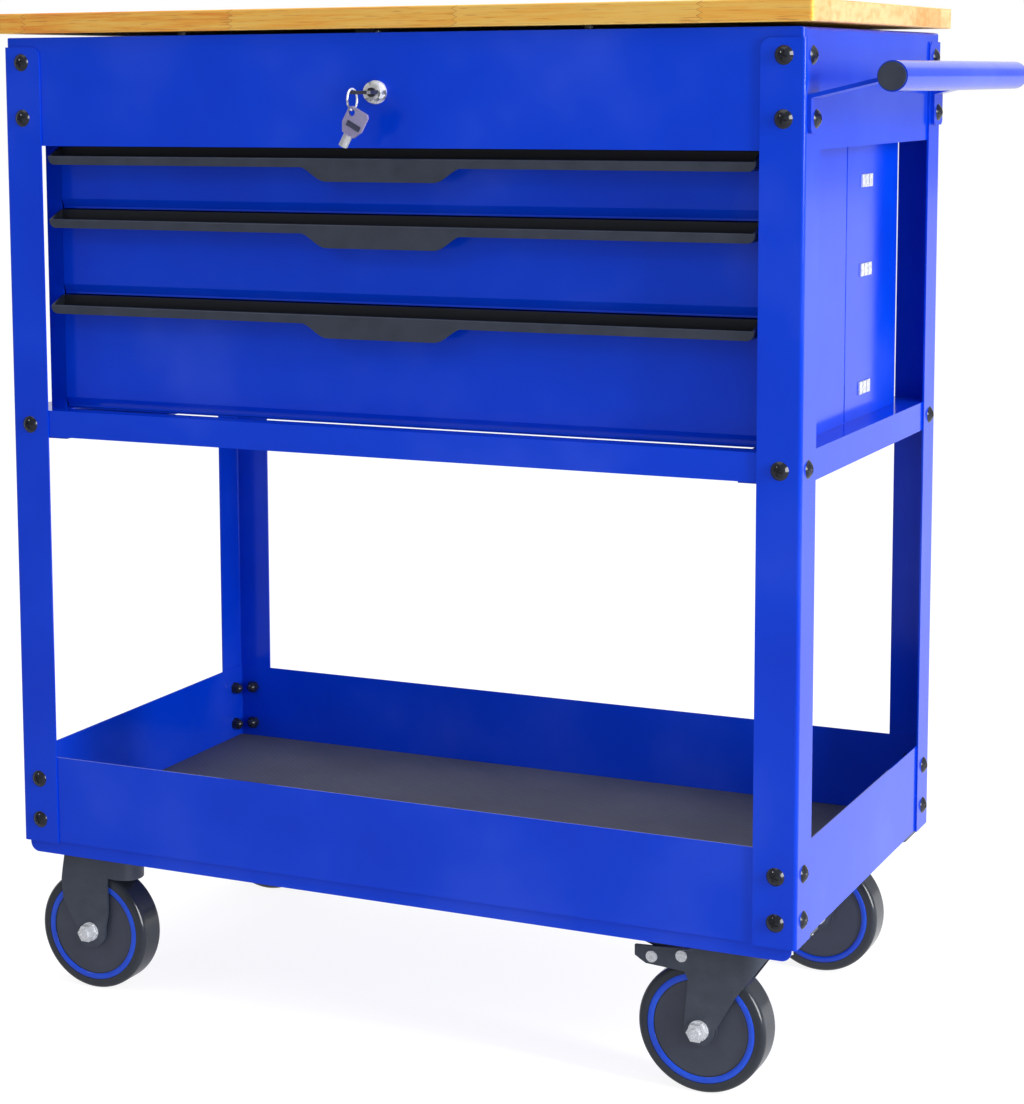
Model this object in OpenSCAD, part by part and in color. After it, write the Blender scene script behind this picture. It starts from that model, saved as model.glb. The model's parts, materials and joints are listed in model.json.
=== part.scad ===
// Rolling tool chest: a bolted frame of four angle posts carries a lidded top box, a
// three-drawer cabinet and an open bottom tray, on two rigid and two swivel casters.
// X runs to the push-handle side, Y to the back, Z up. The floor is at Z 0.

/* [Frame] */
// Width over the posts
frame_w = 680; // [600:1:900]
// Depth over the posts
frame_d = 367; // [330:1:500]
// Width of each post flange
post_flange = 34; // [30:1:40]
// Thickness of the post steel
post_t = 1.5; // [1.2:0.1:2.5]
// Outside radius of the post's fold
post_fold = 3; // [2.6:0.1:5]
// Radius of the flange's upper corner
post_corner = 8; // [2:0.5:12]
// How far the posts stop short of the box rim
post_drop = 7.6; // [4:0.1:20]
// Thickness of the folded sheet
sheet_t = 1; // [0.8:0.1:1.4]

/* [Heights] */
// Underside of the tray floor over the ground
tray_z = 131; // [129:0.5:170]
// Wall height of the tray
tray_h = 73; // [70:1:110]
// Underside of the middle frame
mid_z = 475.7; // [420:0.1:520]
// Height of the middle frame
mid_h = 21.8; // [18:0.1:30]
// Height of the drawer cabinet
cab_h = 217.3; // [216.5:0.1:260]
// Height of the top box
box_h = 87.4; // [84:0.1:140]
// Thickness of the wooden top
wood_t = 16.1; // [12:0.1:25]
// Gap under the closed wooden top
lid_gap = 3.3; // [3.2:0.1:6]
// Distance of the lid's bumpers from the hinges' inner ends
bumper_room = 14; // [8:1:60]

/* [Bottom tray] */
// Lip below the tray floor at front and back
tray_lip = 11.4; // [8:0.1:12]
// Radius of the lip's lower corners
lip_corner = 8; // [3:0.5:8]
// Set-back of the lip behind the wall
lip_set_back = 1.6; // [0.2:0.1:2.4]
// Thickness of the tray liner
liner_t = 4; // [3.6:0.1:8]
// Clearance round the liner
liner_gap = 0.5; // [0.2:0.1:2]

/* [Middle frame] */
// Thickness of the rails
rail_t = 1.5; // [1.2:0.1:2.5]
// Depth of the front and back top flanges
rail_flange = 18; // [12:0.5:18.5]
// Depth of the side rails' top flanges
side_flange = 42.5; // [30:0.5:60]
// Depth of the side rails' bottom flanges
side_foot = 48; // [20:0.5:60]

/* [Cabinet] */
// Width of the cabinet
cab_w = 635; // [560:1:640]
// Set-back of the cabinet's front behind the posts
cab_front = 23.5; // [22:0.5:30]
// Depth of the cabinet
cab_d = 298; // [290:1:320]
// Width of the space between the wall and a drawer front's end
slide_space = 15; // [15:0.5:22]
// Clearance between drawer front and front flange
drawer_side_gap = 1.3; // [0.6:0.1:3]
// Set-back of the cabinet floor behind the shell's front
floor_set_back = 2; // [1:0.5:10]

/* [Drawers] */
// Height of the upper drawer front
front_1_h = 50.5; // [48:0.1:60]
// Height of the middle drawer front
front_2_h = 69.4; // [60:0.1:90]
// Gap between drawer fronts
front_gap = 0.9; // [0.5:0.1:1]
// Gap between the lower front and the cabinet floor
front_foot_gap = 0.4; // [0.3:0.1:1]
// Gap between the upper front and the box above it
front_head_gap = 1; // [0.8:0.1:3]
// Depth of the fold at each end of a drawer front
front_fold = 4; // [2:0.5:4.5]
// How far the fronts stand before the cabinet
front_proud = 1.7; // [1.4:0.1:4]
// Height of the sloping lower edge
bevel_h = 6.4; // [3:0.1:10]
// Depth of the sloping lower edge
bevel_d = 3; // [1:0.1:5]
// Depth of the drawer box
drawer_d = 282; // [265:1:285]
// Drop of the drawer walls below the front's top
drawer_wall_drop = 15; // [10:0.5:20]
// Height of the drawer floor over the front's bottom
drawer_floor = 4; // [3:0.5:8]

/* [Drawer slides] */
// Length of each slide
slide_l = 250; // [248:1:262]
// Height of the outer slide member
slide_h = 35; // [30:1:36]
// Width of a whole slide between stand-off and drawer
slide_w = 12.6; // [12:0.1:14]
// Steel thickness of the slide members
slide_t = 1.5; // [1.2:0.1:1.6]
// Running gap between slide members
slide_gap = 0.25; // [0.15:0.05:0.5]
// Height of the slide's centre over the front's bottom
slide_z = 22; // [21:0.5:26]
// Set-back of the slides behind the cabinet's front
slide_front = 4; // [2:0.5:8]
// Distance from the cabinet front to the wall slots
slot_y = 193; // [150:1:215]
// Height of the wall slots
slot_h = 10; // [6:0.5:14]
// Width of the double hook's slot
slot_wide = 18; // [12:0.5:18]
// Width of the single hook's slot
slot_narrow = 9.5; // [6:0.5:12]
// Bridge of sheet between the two slots
slot_bridge = 1.6; // [1.2:0.1:4]
// Rise of a stand-off above and below the slots
stand_off_rise = 3; // [1:0.5:6]
// Length of the front stand-offs
stand_off_l = 20; // [12:1:40]

/* [Drawer handles] */
// Distance from drawer front to the lip's face
grip_d = 18; // [12:0.5:20]
// Wall of the handle moulding
grip_t = 2; // [1.5:0.1:3]
// Height of the lip
lip_h = 7.2; // [6:0.1:12]
// Drop of the lip below the handle's top
lip_drop = 7; // [4:0.1:10]
// How far each end of the handle passes the drawer front
grip_over = 0.6; // [0:0.1:1]
// Radius of the lip's lower corners
grip_corner = 6; // [3:0.5:7]
// Drop of the centre tab below the lip
tab_drop = 11; // [6:0.5:14]
// Half width of the centre tab where it meets the lip
tab_top = 71; // [50:1:120]
// Half width of the centre tab at its lower edge
tab_foot = 46; // [30:1:48]

/* [Wooden top] */
// Overhang of the wooden top past the posts
overhang = 5; // [5:0.5:15]
// Offset of the wooden top towards the push handle
wood_shift = 2.4; // [0:0.1:4]
// Corner radius of the wooden top in plan
wood_corner = 4; // [2:0.5:10]
// Rounding of the wooden top's edges
wood_edge = 1.6; // [0.5:0.1:4]
// Inward flange of the box rim
rim_flange = 8; // [6:0.5:9]
// Corner radius of the box panels
rim_corner = 3; // [2:0.5:5]

/* [Lid hinges] */
// Distance of each hinge from the middle
hinge_x = 220; // [120:1:260]
// Length of each hinge
hinge_l = 66; // [45:1:90]
// Pin diameter
pin_d = 3; // [2.5:0.1:3.2]
// Knuckle diameter
knuckle_d = 6; // [5.4:0.1:6]
// Leaf thickness
leaf_t = 1.2; // [1:0.1:1.2]
// Depth of the upper leaf
leaf_d = 34; // [24:1:50]
// Height of the lower leaf
leaf_h = 14; // [12:0.5:16]

/* [Lock] */
// Height of the lock over the box's underside
lock_up = 42.4; // [36:0.1:50]
// Diameter of the lock's flange
lock_flange_d = 18; // [16.5:0.1:20]
// Diameter of the lock body
lock_d = 16; // [15:0.1:16.4]
// How far the lock stands out of the panel
lock_out = 7.6; // [5:0.1:9]
// How far the lock body reaches behind the panel face
lock_in = 14.8; // [12:0.1:16]
// Diameter of the turning plug
plug_d = 11; // [10:0.1:12]
// Length of the tongue from the lock's axis
tongue_l = 26; // [22:0.5:28]
// Width of the tongue
tongue_w = 12; // [8:0.5:13]
// Thickness of the tongue
tongue_t = 2.5; // [1.5:0.1:3]

/* [Keys] */
// Width of the key's bow
bow_w = 18; // [17:0.5:20]
// Length of the key's bow
bow_l = 21; // [20:0.5:24]
// Thickness of the key's bow
bow_t = 2.6; // [2:0.1:2.8]
// Diameter of the key's barrel
barrel_d = 7.2; // [6:0.1:7.6]
// Length of the key's barrel
barrel_l = 9.6; // [8:0.1:9.8]
// Solid length at the root of the key's barrel
barrel_root = 2; // [1.6:0.1:3]
// Gap between the inserted key's bow and the lock's face
key_gap = 1; // [0.8:0.1:2]
// Sideways offset of the hole in the bow
bow_hole_x = 5; // [4.5:0.1:5.2]
// Offset of the hole beyond the bow's middle
bow_hole_y = 6; // [5:0.1:6.5]
// Diameter of the hole in the bow
bow_hole_d = 5.6; // [5.4:0.1:5.8]
// Middle diameter of the split ring
ring_d = 15.8; // [15:0.1:16.2]
// Wire diameter of the split ring
wire_d = 1.6; // [1.2:0.1:1.7]
// How far the ring rides up in the key's hole
ring_lift = 0.4; // [0.3:0.05:0.5]
// Lean of the hanging key in degrees
key_lean = 29; // [20:1:32]

/* [Push handle] */
// Diameter of the handle tube
tube_d = 22; // [18:0.5:28]
// Wall of the handle tube
tube_t = 1.5; // [1:0.1:2.5]
// Distance from the posts to the tube's axis
tube_out = 61.5; // [50:0.5:90]
// Height of the tube's axis over the box's underside
tube_up = 52.2; // [48:0.1:60]
// Width of each handle bracket
bracket_w = 26; // [22:0.5:30]
// Thickness of each handle bracket
bracket_t = 3; // [2:0.1:4]
// Rise of the bracket's arm in degrees
bracket_rise = 13; // [8:1:18]
// Reach of the bracket's tab below its bolt
bracket_foot = 10.4; // [9:0.1:16]
// Thickness of the end caps outside the tube
cap_t = 2; // [1:0.1:4]
// How much narrower the end caps are than the tube
cap_step = 2; // [0.5:0.1:3]
// Depth of the end caps' plugs in the tube
cap_plug = 10; // [6:0.5:20]

/* [Frame fasteners] */
// Diameter of the bolts
bolt_d = 6; // [5:0.5:6]
// Diameter of the bolt heads
head_d = 14; // [11:0.5:15]
// Height of the bolt heads
head_h = 3.4; // [2.5:0.1:4]
// Distance of the bolts from the post's corner
bolt_edge = 16.5; // [15:0.5:18]
// Clearance of bolt holes, across
bolt_clear = 0.4; // [0.2:0.1:1]
// Width across flats of the nuts
nut_af = 10; // [9:0.5:10]

/* [Wheels] */
// Wheel diameter
wheel_d = 102; // [90:1:103]
// Tyre width
wheel_w = 28.5; // [24:0.5:29]
// Shoulder radius of the tyre
shoulder = 4.3; // [2:0.1:5]
// Outer diameter of the colour ring's groove
ring_groove_d = 86.2; // [80:0.1:88]
// Diameter of the hub's rim
hub_rim_d = 74.5; // [70:0.5:78]
// How far the hub's faces lie under its rim
hub_face_drop = 0; // [0:0.1:6]
// Diameter of the hub's boss
boss_d = 27; // [22:0.5:32]
// Axle bolt diameter
axle_d = 8; // [6:0.5:8]
// Diameter of the axle sleeve
sleeve_d = 12; // [11:0.5:14]

/* [Casters] */
// Thickness of the fork steel
fork_t = 2.5; // [2:0.1:3]
// Gap between wheel hub and fork, each side
fork_gap = 0.3; // [0.2:0.05:0.6]
// Side room between tyre and fork
tyre_room = 1.45; // [1:0.05:2]
// Thickness of the caster plates
plate_t = 2.8; // [2:0.1:3.5]
// Length of the caster plates
plate_l = 92; // [86:1:93]
// Width of the caster plates
plate_w = 61; // [60:0.2:66]
// Clearance between the caster plates and the tray's lip
plate_room = 0.2; // [0.1:0.05:2]
// Gap between the caster plates' ends and the posts
plate_end_gap = 0.5; // [0.3:0.1:3]
// Height of the swivel head between tray and fork
swivel_head_h = 14.5; // [12:0.1:18]
// Trail of the swivel casters
trail = 33; // [25:0.5:36]
// How far the rigid axles stand inwards of their plates' middle
rigid_offset = 5; // [0:0.5:10]
// Kingpin diameter
kingpin_d = 10; // [8:0.5:12]
// Running clearance of pins and shafts, on the radius
run_gap = 0.05; // [0.02:0.01:0.1]

/* [Hidden] */
$fn = 48;
cut = 0.5;
blue = [0.06, 0.22, 0.72];
black = [0.1, 0.1, 0.12];
zinc = [0.82, 0.84, 0.86];
rubber = [0.17, 0.18, 0.22];

// Frame faces and levels
post_x = frame_w / 2;
post_y = frame_d / 2;
panel_x = post_x - post_t;
panel_y = post_y - post_t;
tray_top = tray_z + tray_h;
mid_top = mid_z + mid_h;
cab_z = mid_top;
box_z = cab_z + cab_h;
box_top = box_z + box_h;
wood_z = box_top + lid_gap;
post_z = tray_z - 1.3;
post_top = box_top - post_drop;
bolt_x = post_x - bolt_edge;
bolt_y = post_y - bolt_edge;
bolt_levels = [box_z + 67.4, box_z + 22.4, mid_z + 9.5, tray_z + 52.9, tray_z + 17.8];
bracket_level = bolt_levels[1];

// Cabinet and drawers
cab_x = cab_w / 2;
cab_y = -post_y + cab_front;
cab_back = cab_y + cab_d;
drawer_x = cab_x - sheet_t - slide_space;
slide_back = slide_space - drawer_side_gap - slide_t;
box_x = cab_x - sheet_t - slide_back - slide_w;
front_y = cab_y - front_proud;
front_gaps = 2 * front_gap + front_foot_gap + front_head_gap;
front_3_h = cab_h - sheet_t - front_1_h - front_2_h - front_gaps;
front_h = [front_1_h, front_2_h, front_3_h];
front_3_z = cab_z + sheet_t + front_foot_gap;
front_2_z = front_3_z + front_3_h + front_gap;
front_1_z = front_2_z + front_2_h + front_gap;
front_z = [front_1_z, front_2_z, front_3_z];
slide_y = cab_y + slide_front;

// Lid hinge axis
hinge_gap = 0.3;
axis_y = panel_y + knuckle_d / 2 + hinge_gap;
axis_z = wood_z - knuckle_d / 2 - hinge_gap;

// Lock and keys
lock_z = box_z + lock_up;
lock_face = -panel_y - lock_out;
lock_end = -panel_y + lock_in;
bow_y = lock_face - key_gap - bow_l / 2;
hole_y = bow_y - bow_hole_y;
ring_drop = ring_d / 2 * sin(45) - ring_lift;
ring_y = hole_y - ring_drop;
ring_z = lock_z - ring_drop;
hang_slack = (bow_hole_d - wire_d) / 2 - 0.2;
spare_z = ring_z - ring_d / 2 - hang_slack;

// Casters
wheel_r = wheel_d / 2;
leg_in = wheel_w / 2 + tyre_room;
leg_out = leg_in + fork_t;
plate_z = tray_z - plate_t;
plate_x = panel_x - plate_l / 2 - plate_end_gap;
swivel_x = plate_x;
rigid_x = plate_x - rigid_offset;
wheel_y = panel_y - lip_set_back - sheet_t - plate_room - plate_w / 2;
swivel_axle_x = swivel_x - trail;
crown_top = tray_z - swivel_head_h;
crown_z = crown_top - fork_t;
plate_hole_x = plate_l / 2 - 9;
plate_hole_y = plate_w / 2 - 6;
rigid_nose = 21.9;
swivel_nose = 1.7;

// Overall box: from the wooden top's edge to the push handle, from the ring to the top's back
low_x = -post_x - overhang + wood_shift;
high_x = post_x + tube_out + tube_d / 2;
low_y = ring_y - ring_d / 2 - wire_d / 2;
high_y = post_y + overhang;

// Puts the origin on the floor under the middle of the overall box
module cart() {
    translate([-(low_x + high_x) / 2, -(low_y + high_y) / 2, 0])
        children();
}

module quadrant(sx, sy) {
    mirror([sx < 0 ? 1 : 0, 0, 0])
        mirror([0, sy < 0 ? 1 : 0, 0])
            children();
}

module each_corner() {
    for (sx = [-1, 1], sy = [-1, 1])
        quadrant(sx, sy)
            children();
}

module both_sides() {
    for (sx = [-1, 1])
        quadrant(sx, 1)
            children();
}

module box_between(low, high) {
    translate(low)
        cube(high - low);
}

module round_rect(w, d, r) {
    square([w - 2 * r, d], center = true);
    square([w, d - 2 * r], center = true);
    for (sx = [-1, 1], sy = [-1, 1])
        translate([sx * (w / 2 - r), sy * (d / 2 - r)])
            circle(r);
}

module round_corner_square(l, r) {
    translate([r, 0])
        square([l - r, l]);
    translate([0, r])
        square([l, l - r]);
    translate([r, r])
        circle(r);
}

// Turns a drawing of X and Z into a slab that runs along Y
module along_y(y0, y1) {
    translate([0, y1, 0])
        rotate([90, 0, 0])
            linear_extrude(y1 - y0)
                children();
}

// Turns a drawing of Y and Z into a slab that runs along X
module along_x(x0, x1) {
    translate([x0, 0, 0])
        rotate([90, 0, 90])
            linear_extrude(x1 - x0)
                children();
}

module rod_y(x, z, d, y0, y1) {
    translate([x, y1, z])
        rotate([90, 0, 0])
            cylinder(h = y1 - y0, d = d);
}

module rod_x(y, z, d, x0, x1) {
    translate([x0, y, z])
        rotate([0, 90, 0])
            cylinder(h = x1 - x0, d = d);
}

module hex(af, h) {
    cylinder(h = h, d = af / cos(30), $fn = 6);
}

// Frame bolts: the head stands on Z 0 and the shank runs down
module bolt_places() {
    each_corner() {
        for (z = bolt_levels) {
            translate([bolt_x, post_y, z])
                rotate([-90, 0, 0])
                    children();
        }
    }
}

module side_bolt_places(sx, levels, out) {
    for (sy = [-1, 1], z = levels)
        quadrant(sx, sy)
            translate([post_x + out, bolt_y, z])
                rotate([0, 90, 0])
                    children();
}

module all_bolt_places() {
    bolt_places()
        children();
    for (sx = [-1, 1])
        side_bolt_places(sx, bolt_levels, 0)
            children();
}

module bolt_hole() {
    translate([0, 0, -head_d])
        cylinder(h = 2 * head_d, d = bolt_d + bolt_clear);
}

module truss_bolt(grip) {
    cap_r = (head_d * head_d / 4 + head_h * head_h) / (2 * head_h);
    difference() {
        intersection() {
            translate([0, 0, head_h - cap_r])
                sphere(cap_r);
            cylinder(h = head_h + cut, d = head_d);
        }
        translate([0, 0, head_h - 1])
            for (turn = [20, 110])
                rotate(turn)
                    translate([-3.4, -0.6, 0])
                        cube([6.8, 1.2, 2]);
    }
    translate([0, 0, -grip - 4])
        cylinder(h = grip + 4, d = bolt_d);
}

module dome_nut() {
    difference() {
        union() {
            hex(nut_af, 4.5);
            translate([0, 0, 4.5])
                intersection() {
                    sphere(nut_af / 2 - 0.4);
                    cylinder(h = nut_af, d = nut_af);
                }
        }
        translate([0, 0, -cut])
            cylinder(h = 4.5 + cut, d = bolt_d + 2 * run_gap);
    }
}

// Frame
module post(sx, sy) {
    reach = post_flange;
    color(blue)
        difference() {
            quadrant(sx, sy)
                difference() {
                    translate([post_x, post_y, post_z])
                        rotate(180)
                            linear_extrude(post_top - post_z)
                                difference() {
                                    round_corner_square(reach, post_fold);
                                    translate([post_t, post_t])
                                        round_corner_square(reach, post_fold - post_t);
                                }
                    translate([post_x - reach, post_y, post_top])
                        flange_corner();
                    translate([post_x, post_y - reach, post_top])
                        rotate(90)
                            flange_corner();
                }
            all_bolt_places()
                bolt_hole();
        }
}

// Waste outside the rounded upper corner of a post flange
module flange_corner() {
    r = post_corner;
    translate([0, -post_t - cut, 0])
        difference() {
            translate([-cut, 0, -r])
                cube([r + cut, post_t + 2 * cut, r + cut]);
            translate([r, -cut, -r])
                rotate([-90, 0, 0])
                    cylinder(h = post_t + 4 * cut, r = r);
        }
}

module ring_wall(z0, z1, t) {
    translate([0, 0, z0])
        linear_extrude(z1 - z0)
            difference() {
                round_rect(2 * panel_x, 2 * panel_y, rim_corner);
                round_rect(2 * (panel_x - t), 2 * (panel_y - t), rim_corner - t);
            }
}

module mid_frame() {
    color(blue)
        difference() {
            union() {
                ring_wall(mid_z, mid_top, rail_t);
                translate([0, 0, mid_top - rail_t])
                    linear_extrude(rail_t)
                        difference() {
                            round_rect(2 * panel_x, 2 * panel_y, rim_corner);
                            square(2 * [panel_x - side_flange, panel_y - rail_flange], center = true);
                        }
                both_sides()
                    translate([panel_x - side_foot, -panel_y + rim_corner, mid_z - rail_t])
                        cube([side_foot, 2 * (panel_y - rim_corner), rail_t]);
            }
            all_bolt_places()
                bolt_hole();
        }
}

module top_box() {
    inner_x = panel_x - rim_flange;
    inner_y = panel_y - rim_flange;
    color(blue)
        difference() {
            intersection() {
                union() {
                    ring_wall(box_z, box_top, sheet_t);
                    translate([0, 0, box_z])
                        linear_extrude(sheet_t)
                            round_rect(2 * panel_x, 2 * panel_y, rim_corner);
                    translate([0, 0, box_top - sheet_t])
                        linear_extrude(sheet_t)
                            difference() {
                                round_rect(2 * panel_x, 2 * panel_y, rim_corner);
                                square(2 * [inner_x, inner_y], center = true);
                            }
                }
                upper_corners(panel_x, box_z, box_top, rim_corner, panel_y);
            }
            all_bolt_places()
                bolt_hole();
            rod_y(0, lock_z, lock_d + bolt_clear, -panel_y - cut, -panel_y + sheet_t + cut);
        }
}

// A block whose two upper edges along Y are rounded
module upper_corners(half, z0, z1, r, half_y) {
    along_y(-half_y - cut, half_y + cut) {
        translate([-half - cut, z0 - cut])
            square([2 * (half + cut), z1 - z0 + cut - r]);
        translate([-half + r, z0])
            square([2 * (half - r), z1 - z0]);
        for (sx = [-1, 1])
            translate([sx * (half - r), z1 - r])
                circle(r);
    }
}

module bottom_tray() {
    lip_y = panel_y - lip_set_back;
    color(blue)
        difference() {
            union() {
                ring_wall(tray_z, tray_top, sheet_t);
                translate([0, 0, tray_z])
                    linear_extrude(sheet_t)
                        round_rect(2 * panel_x, 2 * panel_y, rim_corner);
                for (sy = [-1, 1])
                    quadrant(1, sy)
                        along_y(lip_y - sheet_t, lip_y)
                            lip_outline();
            }
            all_bolt_places()
                bolt_hole();
            caster_bolt_places()
                bolt_hole();
        }
}

// The lip hangs below the tray floor and its lower corners are rounded
module lip_outline() {
    half = panel_x - rim_corner;
    low = tray_z - tray_lip;
    translate([-half, low + lip_corner])
        square([2 * half, tray_lip - lip_corner + sheet_t]);
    translate([-half + lip_corner, low])
        square([2 * (half - lip_corner), tray_lip + sheet_t]);
    for (sx = [-1, 1])
        translate([sx * (half - lip_corner), low + lip_corner])
            intersection() {
                circle(lip_corner);
                translate([-lip_corner, -lip_corner])
                    square([2 * lip_corner, lip_corner]);
            }
}

module tray_liner() {
    half_x = panel_x - sheet_t - liner_gap;
    half_y = panel_y - sheet_t - liner_gap;
    color(rubber)
        difference() {
            translate([0, 0, tray_z + sheet_t])
                linear_extrude(liner_t)
                    round_rect(2 * half_x, 2 * half_y, rim_corner);
            caster_bolt_places()
                translate([0, 0, -cut])
                    cylinder(h = cut + 3, d = 13);
        }
}

// Cabinet
module cabinet_shell() {
    flange_in = drawer_x + drawer_side_gap;
    color(blue)
        difference() {
            union() {
                both_sides() {
                    box_between([cab_x - sheet_t, cab_y, cab_z], [cab_x, cab_back, box_z]);
                    box_between([flange_in, cab_y, cab_z], [cab_x, cab_y + sheet_t, box_z]);
                }
                box_between([-cab_x, cab_y, box_z - sheet_t], [cab_x, cab_back, box_z]);
                box_between([-cab_x, cab_back - sheet_t, cab_z], [cab_x, cab_back, box_z]);
            }
            slot_places()
                wall_slot(0.2);
        }
}

module cabinet_floor() {
    half = cab_x - sheet_t;
    color(blue)
        box_between([-half, cab_y + floor_set_back, cab_z], [half, cab_back - sheet_t, cab_z + sheet_t]);
}

module slot_places() {
    for (z = front_z, sx = [-1, 1])
        quadrant(sx, 1)
            translate([cab_x, cab_y + slot_y, z + slide_z])
                children();
}

// Two slots through the wall, one for a double hook and one for a single hook
module wall_slot(room) {
    second = slot_wide + slot_bridge;
    h = slot_h + 2 * room;
    translate([-sheet_t - cut, -room, -h / 2])
        cube([sheet_t + 2 * cut, slot_wide + 2 * room, h]);
    translate([-sheet_t - cut, second - room, -h / 2])
        cube([sheet_t + 2 * cut, slot_narrow + 2 * room, h]);
}

// Hat-shaped stand-off between the wall and the outer member's back
module stand_off(y, l) {
    half = slot_h / 2 + stand_off_rise;
    translate([-sheet_t - slide_t, y, -half])
        cube([slide_t, l, 2 * half]);
    for (sz = [-1, 1])
        translate([-sheet_t - slide_back - cut, y, sz * (half - slide_t / 2) - slide_t / 2])
            cube([slide_back + cut, l, slide_t]);
}

// Hooks of the outer slide member, pushed out through the wall slots, and its stand-offs
module slide_hooks() {
    tooth = (slot_wide - slot_bridge) / 2;
    second = slot_wide + slot_bridge;
    stand_off(0, second + slot_narrow);
    stand_off(slide_front + 2 * slide_t - slot_y, stand_off_l);
    for (y = [0, tooth + slot_bridge])
        translate([-sheet_t - slide_t, y, -slot_h / 2])
            cube([sheet_t + slide_t + 1.2, tooth, slot_h]);
    translate([-sheet_t - slide_t, second, -slot_h / 2])
        cube([sheet_t + slide_t + 1.2, slot_narrow, slot_h]);
}

// Slides. Each profile is drawn from the stand-off towards the drawer along X, with Z up.
module slide_run(z, sx) {
    quadrant(sx, 1)
        translate([cab_x - sheet_t - slide_back, slide_y, z])
            mirror([1, 0, 0])
                along_y(0, slide_l)
                    children();
}

module outer_profile() {
    half = slide_h / 2;
    translate([0, -half])
        square([slide_t, slide_h]);
    for (sz = [-1, 1])
        translate([0, sz * (half - slide_t / 2) - slide_t / 2])
            square([slide_w * 2 / 3, slide_t]);
}

module middle_profile() {
    half = slide_h / 2 - slide_t - slide_gap;
    web = slide_w / 2 - 1;
    edge = 2 * slide_t;
    translate([web, -half])
        square([slide_t, 2 * half]);
    for (sz = [-1, 1])
        translate([edge, sz * (half - slide_t / 2) - slide_t / 2])
            square([slide_w - 2 * edge, slide_t]);
}

module inner_profile() {
    half = slide_h / 2 - 2 * slide_t - 2 * slide_gap;
    start = slide_w / 2 + slide_t;
    translate([slide_w - slide_t, -half])
        square([slide_t, 2 * half]);
    for (sz = [-1, 1])
        translate([start, sz * (half - slide_t / 2) - slide_t / 2])
            square([slide_w - start, slide_t]);
}

module slide_outer_members() {
    color(zinc) {
        for (z = front_z, sx = [-1, 1])
            slide_run(z + slide_z, sx)
                outer_profile();
        slot_places()
            slide_hooks();
    }
}

module slide_middle(i) {
    color(zinc)
        for (sx = [-1, 1])
            slide_run(front_z[i] + slide_z, sx)
                middle_profile();
}

module slide_inner(i) {
    color(zinc)
        for (sx = [-1, 1])
            slide_run(front_z[i] + slide_z, sx)
                inner_profile();
}

// Drawers
module drawer_box(i) {
    z0 = front_z[i];
    z1 = z0 + front_h[i];
    floor_z = z0 + drawer_floor;
    wall_top = z1 - drawer_wall_drop;
    back_y = front_y + drawer_d;
    edge_h = bevel_h / 4;
    color(blue) {
        along_x(-drawer_x, drawer_x)
            polygon([
                [front_y, z1], [front_y, z0 + edge_h + bevel_h], [front_y + bevel_d, z0 + edge_h],
                [front_y + bevel_d, z0], [front_y + 12, z0], [front_y + 12, z0 + sheet_t],
                [front_y + bevel_d + sheet_t, z0 + sheet_t],
                [front_y + bevel_d + sheet_t, z0 + edge_h],
                [front_y + sheet_t, z0 + edge_h + bevel_h], [front_y + sheet_t, z1]
            ]);
        both_sides()
            box_between(
                [drawer_x - sheet_t, front_y + sheet_t / 2, z0 + edge_h + bevel_h],
                [drawer_x, front_y + front_fold, z1]
            );
        difference() {
            box_between([-box_x, front_y + sheet_t / 2, floor_z], [box_x, back_y, wall_top]);
            box_between(
                [-box_x + sheet_t, front_y + sheet_t, floor_z + sheet_t],
                [box_x - sheet_t, back_y - sheet_t, wall_top + cut]
            );
            box_between(
                [-box_x - cut, front_y, floor_z - cut],
                [box_x + cut, front_y + bevel_d + sheet_t, z0 + edge_h + bevel_h]
            );
        }
        box_between(
            [-box_x, front_y + bevel_d, floor_z],
            [box_x, front_y + bevel_d + 2 * sheet_t, floor_z + sheet_t]
        );
    }
}

module drawer_handle(i) {
    top = front_z[i] + front_h[i];
    half = drawer_x + grip_over;
    lip_top = top - lip_drop;
    lip_z = lip_top - lip_h;
    lip_y = front_y - grip_d;
    color(black) {
        intersection() {
            union() {
                along_x(-half, half)
                    grip_profile(lip_y, lip_z, lip_top, top);
                for (end_x = [-half, half - grip_t])
                    along_x(end_x, end_x + grip_t)
                        polygon([
                            [lip_y, lip_z], [lip_y, lip_top - grip_t / 2],
                            [lip_y + grip_t / 2, lip_top], [front_y - grip_t, top],
                            [front_y, top], [front_y, lip_z]
                        ]);
            }
            along_y(lip_y - cut, front_y + cut)
                lower_corners(half, lip_z, top, grip_corner);
        }
        along_y(lip_y, lip_y + grip_t)
            tab_outline(lip_z);
    }
}

// A groove that is open upwards: back plate, floor and front lip with a rounded edge
module grip_profile(lip_y, lip_z, lip_top, top) {
    r = grip_t / 2;
    translate([lip_y, lip_z])
        square([grip_t, lip_h - r]);
    translate([lip_y + r, lip_top - r])
        circle(r);
    translate([lip_y, lip_z])
        square([grip_d, grip_t]);
    translate([front_y - grip_t, lip_z])
        square([grip_t, top - lip_z]);
}

module lower_corners(half, z0, z1, r) {
    translate([-half, z0 + r])
        square([2 * half, z1 - z0 - r]);
    translate([-half + r, z0])
        square([2 * (half - r), z1 - z0]);
    for (sx = [-1, 1])
        translate([sx * (half - r), z0 + r])
            circle(r);
}

// The centre tab narrows downwards with a reversed curve at each side
module tab_outline(lip_z) {
    bend = (tab_top - tab_foot) / 2;
    steps = [for (k = [0:12]) k / 12];
    right = [
        for (s = steps)
            [tab_top - 2 * bend * s, lip_z + cut - (tab_drop + cut) * (1 - cos(180 * s)) / 2]
    ];
    left = [for (k = [12:-1:0]) [-right[k][0], right[k][1]]];
    polygon(concat(right, left));
}

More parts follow.
